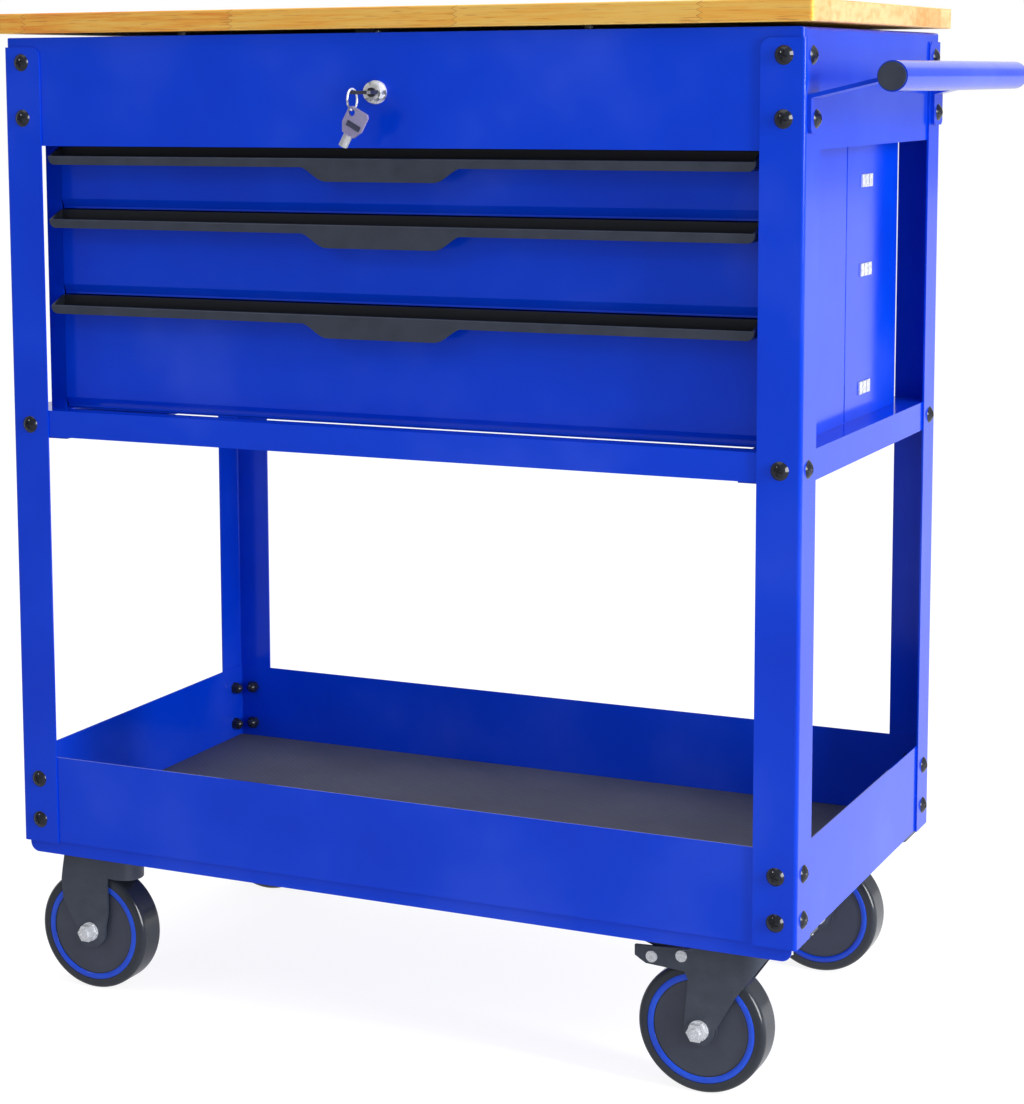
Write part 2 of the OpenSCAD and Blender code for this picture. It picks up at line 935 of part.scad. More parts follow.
// Lid
module wood_top() {
    w = frame_w + 2 * overhang;
    d = frame_d + 2 * overhang;
    middle = wood_z + wood_t / 2;
    color([0.85, 0.66, 0.38])
        translate([wood_shift, 0, 0])
            intersection() {
                translate([0, 0, wood_z])
                    linear_extrude(wood_t)
                        round_rect(w, d, wood_corner);
                along_y(-d / 2 - cut, d / 2 + cut)
                    translate([0, middle])
                        round_rect(w, wood_t, wood_edge);
                along_x(-w / 2 - cut, w / 2 + cut)
                    translate([0, middle])
                        round_rect(d, wood_t, wood_edge);
            }
}

module hinge_places() {
    both_sides()
        translate([hinge_x, axis_y, axis_z])
            children();
}

// Knuckles at the given stretches of a hinge, from 0 at one end to 1 at the other
module knuckles(stretches) {
    for (s = stretches) {
        start = hinge_l * (s[0] - 0.5) + hinge_gap / 2;
        rod_x(0, 0, knuckle_d, start, hinge_l * (s[1] - 0.5) - hinge_gap / 2);
    }
}

module hinge_bore(room) {
    rod_x(0, 0, pin_d + 2 * room, -hinge_l, hinge_l);
}

upper_stretches = [[0.35, 0.65]];
lower_stretches = [[0, 0.35], [0.65, 1]];
clear_d = knuckle_d + 1;

module lid_hinge_upper() {
    top = wood_z - axis_z;
    color(zinc)
        hinge_places()
            difference() {
                union() {
                    difference() {
                        translate([-hinge_l / 2, -leaf_d, top - leaf_t])
                            cube([hinge_l, leaf_d + 1, leaf_t]);
                        for (s = lower_stretches)
                            rod_x(0, 0, clear_d, hinge_l * (s[0] - 0.5) - cut, hinge_l * (s[1] - 0.5) + cut);
                        for (s = lower_stretches)
                            translate([hinge_l * (s[0] - 0.5) - cut, 0, 0])
                                cube([hinge_l * (s[1] - s[0]) + 2 * cut, 2, top + cut]);
                        leaf_screws()
                            translate([0, 0, -4])
                                cylinder(h = 8, d = 4.3);
                    }
                    knuckles(upper_stretches);
                }
                hinge_bore(run_gap);
            }
}

module lid_hinge_lower() {
    face = panel_y - axis_y;
    color(zinc)
        hinge_places()
            difference() {
                union() {
                    difference() {
                        translate([-hinge_l / 2, face, -leaf_h])
                            cube([hinge_l, leaf_t, leaf_h + 1]);
                        for (s = upper_stretches)
                            rod_x(0, 0, clear_d, hinge_l * (s[0] - 0.5) - cut, hinge_l * (s[1] - 0.5) + cut);
                        for (s = upper_stretches)
                            translate([hinge_l * (s[0] - 0.5) - cut, face - cut, 0])
                                cube([hinge_l * (s[1] - s[0]) + 2 * cut, leaf_t + 2 * cut, 2]);
                    }
                    knuckles(lower_stretches);
                }
                hinge_bore(0);
            }
}

module lid_hinge_pins() {
    color(zinc)
        hinge_places()
            rod_x(0, 0, pin_d, -hinge_l / 2 - 0.6, hinge_l / 2 + 0.6);
}

// Screw places of the upper hinge leaves, at the wood's underside
module leaf_screws() {
    for (x = [-0.38, 0.38], y = [0.35, 0.8])
        translate([hinge_l * x, -leaf_d * y, wood_z - axis_z])
            children();
}

catch_in = 12;
catch_w = 16;
catch_t = 1.5;
catch_back = -panel_y + 22;
catch_leaf = 26;

// The tongue points up when the lid is free, and a quarter turn lays it over the catch's shelf
module lid_catch() {
    shelf = lock_z - tongue_w / 2 - 0.6;
    low = shelf - catch_t;
    front = catch_back - catch_t;
    x0 = -catch_in - catch_w;
    x1 = -catch_in;
    color(black)
        difference() {
            union() {
                box_between([x0, front, low], [x1, catch_back, wood_z]);
                box_between([x0, lock_end - 1.3, low], [x1, catch_back, shelf]);
                box_between([x0, front, wood_z - catch_t], [x1, catch_back + catch_leaf, wood_z]);
            }
            catch_screws()
                translate([0, 0, -4])
                    cylinder(h = 8, d = 4.3);
        }
}

module catch_screws() {
    for (y = [0.35, 0.75])
        translate([-catch_in - catch_w / 2, catch_back + catch_leaf * y, wood_z])
            children();
}

module lid_screws() {
    color(zinc) {
        hinge_places()
            leaf_screws()
                wood_screw(leaf_t);
        catch_screws()
            wood_screw(catch_t);
    }
}

// A pan-head screw that runs up into the wood from a leaf of the given thickness
module wood_screw(leaf) {
    translate([0, 0, -leaf - 1.2])
        cylinder(h = 1.2, d = 7);
    translate([0, 0, -leaf - cut])
        cylinder(h = leaf + cut, d = 4);
}

module lid_bumpers() {
    height = lid_gap - 0.2;
    bumper_x = hinge_x - hinge_l / 2 - bumper_room;
    color(rubber)
        each_corner()
            translate([bumper_x, panel_y - rim_flange / 2, wood_z - height])
                cylinder(h = height, d = rim_flange - 1);
}

// Lock: the body sits in the front panel and its plug turns about an axis along Y
module lock_body() {
    color(zinc) {
        difference() {
            union() {
                rod_y(0, lock_z, lock_flange_d, -panel_y - 2, -panel_y);
                rod_y(0, lock_z, lock_d, lock_face + 0.8, lock_end - 1);
                rod_y(0, lock_z, lock_d - 1.2, lock_face, lock_end - 1);
            }
            rod_y(0, lock_z, plug_d + 2 * run_gap, lock_face - cut, lock_end + cut);
        }
        difference() {
            along_y(-panel_y + sheet_t, -panel_y + sheet_t + 3)
                translate([0, lock_z])
                    circle(d = 22 / cos(30), $fn = 6);
            rod_y(0, lock_z, lock_d + 2 * run_gap, -panel_y, -panel_y + 10);
        }
    }
}

spigot_d = 6;
pin_core_d = 3.6;
barrel_bore = 4;

module lock_plug() {
    pin_face = lock_face + barrel_root - key_gap;
    color(zinc)
        difference() {
            union() {
                rod_y(0, lock_z, plug_d, lock_face + 0.3, lock_end - 0.8);
                rod_y(0, lock_z, spigot_d, lock_end - 1, lock_end + tongue_t + 2.6);
            }
            difference() {
                rod_y(0, lock_z, barrel_d + 2 * run_gap, lock_face - cut, lock_face + barrel_l);
                rod_y(0, lock_z, pin_core_d, pin_face, lock_face + barrel_l + cut);
            }
        }
}

module lock_cam() {
    color(zinc) {
        difference() {
            along_y(lock_end, lock_end + tongue_t) {
                translate([0, lock_z])
                    circle(d = tongue_w);
                translate([-tongue_w / 2, lock_z])
                    square([tongue_w, tongue_l - tongue_w / 2]);
                translate([0, lock_z + tongue_l - tongue_w / 2])
                    circle(d = tongue_w);
            }
            rod_y(0, lock_z, spigot_d + 2 * run_gap, lock_end - cut, lock_end + tongue_t + cut);
        }
        difference() {
            translate([0, lock_end + tongue_t, lock_z])
                rotate([-90, 0, 0])
                    hex(9, 2.4);
            rod_y(0, lock_z, spigot_d + 2 * run_gap, lock_end, lock_end + tongue_t + 3);
        }
    }
}

// A key in its own drawing: bow round the origin, barrel downwards, hole at the upper left
module key_shape() {
    shoulder_w = barrel_d / 2 + 1.6;
    translate([0, 0, -bow_t / 2])
        linear_extrude(bow_t)
            difference() {
                polygon([
                    [-bow_w / 2 + 2, bow_l / 2], [bow_w / 2 - 2, bow_l / 2],
                    [bow_w / 2, bow_l / 2 - 2], [bow_w / 2, -bow_l / 6],
                    [shoulder_w, -bow_l / 2], [-shoulder_w, -bow_l / 2],
                    [-bow_w / 2, -bow_l / 6], [-bow_w / 2, bow_l / 2 - 2]
                ]);
                translate([-bow_hole_x, bow_hole_y])
                    circle(d = bow_hole_d);
            }
    translate([0, -bow_l / 2 + cut, 0])
        rotate([90, 0, 0])
            difference() {
                cylinder(h = barrel_l + cut, d = barrel_d);
                translate([0, 0, barrel_root])
                    cylinder(h = barrel_l, d = barrel_bore);
            }
}

module inserted_key() {
    color(black)
        translate([0, bow_y, lock_z])
            rotate([180, 0, 0])
                key_shape();
}

module key_ring() {
    color(zinc)
        translate([-bow_hole_x, ring_y, ring_z])
            rotate([0, 90, 0])
                rotate_extrude()
                    translate([ring_d / 2, 0])
                        circle(d = wire_d, $fn = 24);
}

module spare_key() {
    color(black)
        translate([-bow_hole_x, ring_y, spare_z])
            rotate([0, key_lean, 0])
                rotate([90, 0, 0])
                    translate([bow_hole_x, -bow_hole_y, 0])
                        key_shape();
}

// Push handle
tube_x = post_x + tube_out;
tube_z = box_z + tube_up;

module push_handle_tube() {
    half = post_y - cap_t;
    color(blue)
        difference() {
            rod_y(tube_x, tube_z, tube_d, -half, half);
            rod_y(tube_x, tube_z, tube_d - 2 * tube_t, -half - cut, half + cut);
        }
}

module handle_caps() {
    tube_end = post_y - cap_t;
    plug = tube_d - 2 * tube_t - 2 * run_gap;
    color(black)
        for (sy = [-1, 1])
            quadrant(1, sy) {
                rod_y(tube_x, tube_z, tube_d - cap_step, tube_end, post_y);
                rod_y(tube_x, tube_z, plug, tube_end - cap_plug, tube_end + cut);
            }
}

// Each bracket is a strap: a tab bolted to the post, then an arm that rises to the tube's side
module handle_brackets() {
    foot = bracket_level - bracket_foot;
    half = bracket_t / cos(bracket_rise) / 2;
    bend_z = tube_z - tan(bracket_rise) * tube_out + half;
    color(blue)
        for (sy = [-1, 1])
            quadrant(1, sy)
                difference() {
                    union() {
                        along_x(post_x, post_x + bracket_t)
                            translate([bolt_y, 0])
                                tab_plate(foot, bend_z);
                        along_y(bolt_y - bracket_w / 2, bolt_y + bracket_w / 2)
                            polygon([
                                [post_x, bend_z - 2 * half], [tube_x, tube_z - half],
                                [tube_x, tube_z + half], [post_x, bend_z]
                            ]);
                    }
                    rod_y(tube_x, tube_z, tube_d, 0, post_y + cut);
                    translate([post_x, bolt_y, bracket_level])
                        rotate([0, 90, 0])
                            bolt_hole();
                }
}

module tab_plate(z0, z1) {
    r = 5;
    translate([-bracket_w / 2, z0 + r])
        square([bracket_w, z1 - z0 - r]);
    translate([-bracket_w / 2 + r, z0])
        square([bracket_w - 2 * r, z1 - z0]);
    for (sy = [-1, 1])
        translate([sy * (bracket_w / 2 - r), z0 + r])
            circle(r);
}

// Frame fasteners
module with_fasteners() {
    plain = [for (z = bolt_levels) if (z != bracket_level) z];
    bolt_places()
        children(0);
    side_bolt_places(-1, bolt_levels, 0)
        children(0);
    side_bolt_places(1, plain, 0)
        children(0);
    side_bolt_places(1, [bracket_level], 0)
        children(1);
}

module frame_bolts() {
    grip = post_t + sheet_t;
    color(black)
        with_fasteners() {
            truss_bolt(grip);
            translate([0, 0, bracket_t])
                truss_bolt(grip + bracket_t);
        }
}

module nut_at(depth) {
    translate([0, 0, -depth])
        rotate([180, 0, 0])
            dome_nut();
}

module frame_nuts() {
    thin = post_t + sheet_t;
    thick = post_t + rail_t;
    color(black) {
        each_corner()
            for (z = bolt_levels) {
                depth = z == bolt_levels[2] ? thick : thin;
                translate([bolt_x, post_y, z])
                    rotate([-90, 0, 0])
                        nut_at(depth);
                translate([post_x, bolt_y, z])
                    rotate([0, 90, 0])
                        nut_at(depth);
            }
    }
}

// Casters. Swivel casters are at the handle side, rigid ones at the other side.
module caster_bolt_places() {
    for (sx = [-1, 1], sy = [-1, 1], ax = [-1, 1], ay = [-1, 1])
        translate([sx * plate_x + ax * plate_hole_x, sy * wheel_y + ay * plate_hole_y, tray_z + sheet_t])
            children();
}

module caster_plate() {
    translate([0, 0, plate_z])
        linear_extrude(plate_t)
            round_rect(plate_l, plate_w, 6);
}

// Plan of a fork: two straight legs joined by a round nose
module fork_plan(tail, nose, side) {
    difference() {
        square_legs(tail, nose, side);
        square_legs(tail - 1, nose, side - fork_t);
    }
}

module square_legs(tail, nose, side) {
    translate([tail, -side])
        square([nose - tail, 2 * side]);
    translate([nose, 0])
        circle(side);
}

// Side view of the rigid fork: X from its axle, Z over the floor
module rigid_side() {
    plate = plate_z + plate_t / 2;
    eye = 14;
    leg = 17.6;
    polygon([
        [-22, plate], [-26.5, plate - 26], [-27.9, plate - 36], [-26.7, plate - 52],
        [-eye, wheel_r + 2], [-eye, wheel_r], [eye, wheel_r], [leg, wheel_r + 18],
        [leg, plate - 30], [42, plate - 32], [42, plate]
    ]);
    translate([0, wheel_r])
        circle(eye);
}

module rigid_fork(sy) {
    color(black)
        difference() {
            union() {
                translate([-plate_x, sy * wheel_y, 0])
                    caster_plate();
                translate([-rigid_x, sy * wheel_y, 0])
                    intersection() {
                        linear_extrude(tray_z)
                            fork_plan(-40, rigid_nose, leg_out);
                        along_y(-leg_out - 1, leg_out + 1)
                            rigid_side();
                    }
            }
            translate([-rigid_x, sy * wheel_y, wheel_r])
                rod_y(0, 0, axle_d + 2 * run_gap, -leg_out - cut, leg_out + cut);
            caster_bolt_places()
                bolt_hole();
        }
}

// Side view of the swivel fork: X from its swivel axis, Z over the floor
module swivel_side() {
    axle = -trail;
    eye = 12;
    polygon([
        [-85, crown_top - 5.5], [-85, crown_top - 13.5], [-80, crown_top - 16.7],
        [-76, crown_top - 19], [-45, crown_top - 21], [-42, crown_top - 26.5],
        [axle - eye, wheel_r + 4], [axle - eye, wheel_r], [axle + eye, wheel_r],
        [-5.6, crown_top - 38.2], [5.2, crown_top - 22.9], [19.9, crown_z], [19.9, crown_top],
        [-30, crown_top], [-42, crown_top - 3.5]
    ]);
    translate([axle, wheel_r])
        circle(eye);
}

lower_race_d = 44;
upper_race_d = 54;
race_h = 4.5;

module swivel_fork(sy) {
    color(black)
        translate([swivel_x, sy * wheel_y, 0])
            difference() {
                union() {
                    intersection() {
                        linear_extrude(tray_z)
                            fork_plan(-90, swivel_nose, leg_out);
                        along_y(-leg_out - 1, leg_out + 1)
                            swivel_side();
                    }
                    translate([0, 0, crown_z])
                        linear_extrude(fork_t)
                            square_legs(-30, swivel_nose, leg_out);
                    translate([0, 0, crown_z + fork_t / 2])
                        cylinder(h = fork_t / 2 + race_h, d = lower_race_d);
                }
                cylinder(h = tray_z, d = kingpin_d + 2 * run_gap);
                rod_y(-trail, wheel_r, axle_d + 2 * run_gap, -leg_out - cut, leg_out + cut);
                brake_pin_places()
                    rod_y(0, 0, brake_pin_d + 2 * run_gap, -leg_out - cut, leg_out + cut);
            }
}

module swivel_plates() {
    race_z = crown_top + race_h;
    color(black)
        for (sy = [-1, 1])
            difference() {
                union() {
                    translate([plate_x, sy * wheel_y, 0])
                        caster_plate();
                    translate([swivel_x, sy * wheel_y, 0]) {
                        translate([0, 0, race_z + 0.3])
                            cylinder(h = plate_z - race_z, d = upper_race_d);
                        translate([0, 0, crown_z - 3.3])
                            cylinder(h = tray_z - crown_z + 3, d = kingpin_d);
                        translate([0, 0, crown_z - 3.3])
                            cylinder(h = 3, d = kingpin_d + 8);
                    }
                }
                caster_bolt_places()
                    bolt_hole();
            }
}

// Brake: the pedal turns on the pin nearer to the swivel, the other pin is its stop.
// Places are X from the swivel axis and Z over the floor.
brake_pin_d = 6;
brake_pins = [[-47, crown_top - 9.1], [-71, crown_top - 12.8]];
brake_gap = 2.3;

module brake_pin_places() {
    for (p = brake_pins)
        translate([p[0], 0, p[1]])
            children();
}

function shoe_z(x) = wheel_r + sqrt(pow(wheel_r + brake_gap, 2) - pow(x + trail, 2));

module pedal_side() {
    pin_z = brake_pins[0][1];
    translate(brake_pins[0])
        circle(4.8);
    polygon([
        [-43.5, pin_z + 3.8], [-50, pin_z + 4.4], [-72, pin_z + 6.4], [-84, pin_z + 10.6],
        [-92.5, pin_z + 11.1], [-92.5, pin_z + 8.4], [-84.5, pin_z + 7.8], [-72, pin_z + 3.5],
        [-62, pin_z + 2.4], [-60.5, shoe_z(-60.5)], [-55.5, shoe_z(-55.5)], [-51.5, pin_z - 1.4]
    ]);
}

module brake_lever(sy) {
    half = leg_in - 2;
    color(black)
        translate([swivel_x, sy * wheel_y, 0])
            difference() {
                along_y(-half, half)
                    pedal_side();
                translate([brake_pins[0][0], 0, brake_pins[0][1]])
                    rod_y(0, 0, brake_pin_d + 2 * run_gap, -leg_out, leg_out);
            }
}

// Axle bolt, sleeve and nut of one wheel, along Y through the axle's place
module axle_set() {
    washer = 1.6;
    color(zinc) {
        difference() {
            rod_y(0, 0, sleeve_d, -leg_in, leg_in);
            rod_y(0, 0, axle_d + 2 * run_gap, -leg_in - cut, leg_in + cut);
        }
        rod_y(0, 0, axle_d, -leg_out - washer, leg_out + washer + 9);
        for (sy = [-1, 1])
            quadrant(1, sy)
                difference() {
                    rod_y(0, 0, 2 * axle_d, leg_out, leg_out + washer);
                    rod_y(0, 0, axle_d + 2 * run_gap, leg_out - cut, leg_out + washer + cut);
                }
        translate([0, -leg_out - washer, 0])
            rotate([90, 0, 0])
                hex(13, 5.3);
        difference() {
            translate([0, leg_out + washer, 0])
                rotate([-90, 0, 0])
                    hex(13, 6.5);
            rod_y(0, 0, axle_d + 2 * run_gap, leg_out, leg_out + washer + 8);
        }
    }
}

module rigid_axles() {
    for (sy = [-1, 1])
        translate([-rigid_x, sy * wheel_y, wheel_r])
            quadrant(1, sy)
                axle_set();
}

module fork_hardware(sy) {
    translate([swivel_axle_x, sy * wheel_y, wheel_r])
        quadrant(1, sy)
            axle_set();
    color(zinc)
        translate([swivel_x, sy * wheel_y, 0])
            brake_pin_places() {
                rod_y(0, 0, brake_pin_d, -leg_out, leg_out);
                for (side = [-1, 1])
                    quadrant(1, side)
                        rod_y(0, 0, brake_pin_d + 3, leg_out, leg_out + 1.4);
            }
}

function axle_place(sx, sy) = [sx < 0 ? -rigid_x : swivel_axle_x, sy * wheel_y, wheel_r];

// Half section of a tyre: radius along X, width along Y
module tyre_section() {
    half = wheel_w / 2;
    seat = hub_rim_d / 2;
    difference() {
        union() {
            translate([seat, -half])
                square([wheel_r - shoulder - seat, wheel_w]);
            translate([seat, -half + shoulder])
                square([wheel_r - seat, wheel_w - 2 * shoulder]);
            for (sy = [-1, 1])
                translate([wheel_r - shoulder, sy * (half - shoulder)])
                    circle(shoulder);
        }
        for (sy = [-1, 1])
            translate([seat - cut, sy * half - 1])
                square([(ring_groove_d - hub_rim_d) / 2 + cut, 2]);
    }
}

module wheel_tyre(sx, sy) {
    color(rubber)
        translate(axle_place(sx, sy))
            rotate([90, 0, 0])
                rotate_extrude()
                    tyre_section();
}

module hub_section() {
    rim = hub_rim_d / 2;
    half = wheel_w / 2 - 1;
    bore = sleeve_d / 2 + run_gap;
    boss_half = leg_in - fork_gap;
    translate([rim - 4, -half])
        square([4, 2 * half]);
    translate([bore, hub_face_drop - half])
        square([rim - bore, 2 * (half - hub_face_drop)]);
    translate([bore, -boss_half])
        square([boss_d / 2 - bore, 2 * boss_half]);
}

module wheel_hub(sx, sy) {
    color(black)
        translate(axle_place(sx, sy))
            rotate([90, 0, 0])
                rotate_extrude()
                    hub_section();
}

module caster_bolts() {
    grip = sheet_t + plate_t;
    color(zinc)
        caster_bolt_places() {
            cylinder(h = 2.6, d = 11);
            translate([0, 0, -grip - 5.4])
                cylinder(h = grip + 5.4 + cut, d = bolt_d);
            translate([0, 0, -grip - 4.8])
                difference() {
                    hex(10, 4.8);
                    translate([0, 0, -cut])
                        cylinder(h = 6, d = bolt_d + 2 * run_gap);
                }
        }
}

cart() post(-1, -1);  // post_front_left
cart() post(1, -1);  // post_front_right
cart() post(-1, 1);  // post_rear_left
cart() post(1, 1);  // post_rear_right
cart() mid_frame();
cart() top_box();
cart() bottom_tray();
cart() tray_liner();
cart() cabinet_shell();
cart() cabinet_floor();
cart() slide_outer_members();
cart() slide_middle(0);  // slide_middle_1
cart() slide_middle(1);  // slide_middle_2
cart() slide_middle(2);  // slide_middle_3
cart() slide_inner(0);  // slide_inner_1
cart() slide_inner(1);  // slide_inner_2
cart() slide_inner(2);  // slide_inner_3
cart() drawer_box(0);  // drawer_box_1
cart() drawer_box(1);  // drawer_box_2
cart() drawer_box(2);  // drawer_box_3
cart() drawer_handle(0);  // drawer_handle_1
cart() drawer_handle(1);  // drawer_handle_2
cart() drawer_handle(2);  // drawer_handle_3
cart() wood_top();
cart() lid_hinge_upper();
cart() lid_hinge_lower();
cart() lid_hinge_pins();
cart() lid_catch();
cart() lid_bumpers();
cart() lid_screws();
cart() lock_body();
cart() lock_plug();
cart() lock_cam();
cart() inserted_key();
cart() key_ring();
cart() spare_key();
cart() push_handle_tube();
cart() handle_brackets();
cart() handle_caps();
cart() frame_bolts();
cart() frame_nuts();
cart() rigid_fork(-1);  // rigid_fork_front
cart() rigid_fork(1);  // rigid_fork_rear
cart() rigid_axles();
cart() swivel_plates();
cart() swivel_fork(-1);  // swivel_fork_front
cart() swivel_fork(1);  // swivel_fork_rear
cart() brake_lever(-1);  // brake_lever_front
cart() brake_lever(1);  // brake_lever_rear
cart() fork_hardware(-1);  // fork_hardware_front
cart() fork_hardware(1);  // fork_hardware_rear
cart() wheel_hub(-1, -1);  // wheel_hub_front_left
cart() wheel_hub(1, -1);  // wheel_hub_front_right
cart() wheel_hub(-1, 1);  // wheel_hub_rear_left
cart() wheel_hub(1, 1);  // wheel_hub_rear_right
cart() wheel_tyre(-1, -1);  // wheel_tyre_front_left
cart() wheel_tyre(1, -1);  // wheel_tyre_front_right
cart() wheel_tyre(-1, 1);  // wheel_tyre_rear_left
cart() wheel_tyre(1, 1);  // wheel_tyre_rear_right
cart() caster_bolts();
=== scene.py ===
import json
import math

import bmesh
import bpy
from mathutils import Matrix, Vector


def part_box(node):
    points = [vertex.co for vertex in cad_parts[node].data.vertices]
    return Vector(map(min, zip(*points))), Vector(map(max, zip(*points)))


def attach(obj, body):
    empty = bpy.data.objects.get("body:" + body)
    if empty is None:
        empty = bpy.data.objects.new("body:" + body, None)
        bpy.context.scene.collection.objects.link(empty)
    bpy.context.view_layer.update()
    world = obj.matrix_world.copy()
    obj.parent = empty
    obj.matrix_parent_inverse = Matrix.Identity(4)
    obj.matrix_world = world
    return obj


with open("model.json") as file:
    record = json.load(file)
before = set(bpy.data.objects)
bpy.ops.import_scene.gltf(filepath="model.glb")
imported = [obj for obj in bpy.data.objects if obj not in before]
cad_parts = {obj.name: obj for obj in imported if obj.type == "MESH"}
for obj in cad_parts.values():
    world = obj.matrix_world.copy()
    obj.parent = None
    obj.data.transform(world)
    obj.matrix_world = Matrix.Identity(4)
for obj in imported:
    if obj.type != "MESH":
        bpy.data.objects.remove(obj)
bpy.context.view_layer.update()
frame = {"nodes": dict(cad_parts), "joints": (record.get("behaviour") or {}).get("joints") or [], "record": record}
print("frame loaded:", len(frame["nodes"]), "nodes")


def tint(red, green, blue, alpha=1.0):
    # screen values 0 to 255 in, linear colour out
    parts = [v / 255 for v in (red, green, blue)]
    return tuple(v / 12.92 if v <= 0.04045 else ((v + 0.055) / 1.055) ** 2.4 for v in parts) + (alpha,)


class Wire:
    # one socket that can stand in a sum; each operator adds a Math node
    def __init__(self, bench, socket):
        self.bench = bench
        self.socket = socket

    def math(self, operation, *values, clamp=False):
        settings = {"operation": operation, "use_clamp": clamp}
        return self.bench.add("ShaderNodeMath", settings, dict(enumerate(values)))

    def __add__(self, other):
        return self.math("ADD", self, other)

    def __radd__(self, other):
        return self.math("ADD", other, self)

    def __sub__(self, other):
        return self.math("SUBTRACT", self, other)

    def __rsub__(self, other):
        return self.math("SUBTRACT", other, self)

    def __mul__(self, other):
        return self.math("MULTIPLY", self, other)

    def __rmul__(self, other):
        return self.math("MULTIPLY", other, self)

    def __truediv__(self, other):
        return self.math("DIVIDE", self, other)

    def __rtruediv__(self, other):
        return self.math("DIVIDE", other, self)

    def floor(self):
        return self.math("FLOOR", self)

    def fraction(self):
        return self.math("FRACT", self)

    def sine(self):
        return self.math("SINE", self)

    def size(self):
        return self.math("ABSOLUTE", self)

    def capped(self):
        return self.math("ADD", self, 0.0, clamp=True)

    def between(self, low, high):
        # 0 below low, 1 above high, smooth in between
        sockets = {"Value": self, "From Min": low, "From Max": high}
        settings = {"interpolation_type": "SMOOTHSTEP"}
        return self.bench.add("ShaderNodeMapRange", settings, sockets)


class Bench:
    # the node tree of one finish
    def __init__(self, tree):
        self.tree = tree
        tree.nodes.clear()

    def add(self, kind, settings=None, sockets=None, out=0):
        node = self.tree.nodes.new(kind)
        for key, value in (settings or {}).items():
            if key == "stops":
                ramp = node.color_ramp
                ramp.elements.remove(ramp.elements[1])
                ramp.elements[0].position, ramp.elements[0].color = value[0]
                for place, colour in value[1:]:
                    ramp.elements.new(place).color = colour
            else:
                setattr(node, key, value)
        for key, value in (sockets or {}).items():
            if isinstance(value, Wire):
                self.tree.links.new(value.socket, node.inputs[key])
            else:
                node.inputs[key].default_value = value
        return Wire(self, node.outputs[out]) if len(node.outputs) else node

    def place(self):
        return self.add("ShaderNodeTexCoord", out="Object")

    def facing(self):
        return self.add("ShaderNodeTexCoord", out="Normal")

    def path(self, kind):
        return self.add("ShaderNodeLightPath", out=kind)

    def axes(self, vector):
        split = self.add("ShaderNodeSeparateXYZ", {}, {0: vector})
        return [Wire(self, out) for out in split.socket.node.outputs]

    def vector(self, x, y, z):
        return self.add("ShaderNodeCombineXYZ", {}, {0: x, 1: y, 2: z})

    def stretch(self, vector, scale):
        return self.add("ShaderNodeVectorMath", {"operation": "MULTIPLY"}, {0: vector, 1: scale})

    def noise(self, vector, scale, detail=2.0, roughness=0.5):
        sockets = {"Vector": vector, "Scale": scale, "Detail": detail, "Roughness": roughness}
        return self.add("ShaderNodeTexNoise", {}, sockets)

    def cells(self, vector, scale, out="Distance"):
        return self.add("ShaderNodeTexVoronoi", {}, {"Vector": vector, "Scale": scale}, out)

    def ramp(self, factor, stops):
        return self.add("ShaderNodeValToRGB", {"stops": stops}, {0: factor})

    def blend(self, factor, first, second):
        settings = {"data_type": "RGBA", "blend_type": "MIX", "clamp_factor": True}
        return self.add("ShaderNodeMix", settings, {0: factor, 6: first, 7: second}, out=2)

    def bump(self, height, depth):
        return self.add("ShaderNodeBump", {}, {"Height": height, "Distance": depth, "Strength": 1.0})


def finish(name, paint, fixed):
    # paint(bench) gives the varying sockets, fixed holds the plain numbers of the shader
    material = bpy.data.materials.new(name)
    material.use_nodes = True
    bench = Bench(material.node_tree)
    shell = bench.add("ShaderNodeBsdfPrincipled", {}, {**fixed, **paint(bench)})
    bench.add("ShaderNodeOutputMaterial", {}, {"Surface": shell})
    material.diffuse_color = (0.5, 0.5, 0.5, 1.0)
    return material


# the camera stands in front of the cart's right corner and is a little tilted; degrees and metres
view = {
    "stand": (0.86005, -1.92476, 0.7669),
    "yaw": 25.823,
    "pitch": -7.109,
    "roll": -0.364,
    "lens": 83.92,
    "shift": (0.07428, -0.13768),
}


def setCamera():
    yaw, pitch, roll = (math.radians(view[k]) for k in ("yaw", "pitch", "roll"))
    ahead = Vector((-math.sin(yaw) * math.cos(pitch), math.cos(yaw) * math.cos(pitch), math.sin(pitch)))
    side = Vector((math.cos(yaw), math.sin(yaw), 0))
    up = side.cross(ahead)
    right = side * math.cos(roll) + up * math.sin(roll)
    top = up * math.cos(roll) - side * math.sin(roll)
    camera = bpy.data.objects.new("camera", bpy.data.cameras.new("camera"))
    bpy.context.scene.collection.objects.link(camera)
    camera.data.lens = view["lens"]
    camera.data.shift_x, camera.data.shift_y = view["shift"]
    turn = Matrix((right, top, -ahead)).transposed()
    camera.matrix_world = Matrix.Translation(view["stand"]) @ turn.to_4x4()
    bpy.context.scene.camera = camera


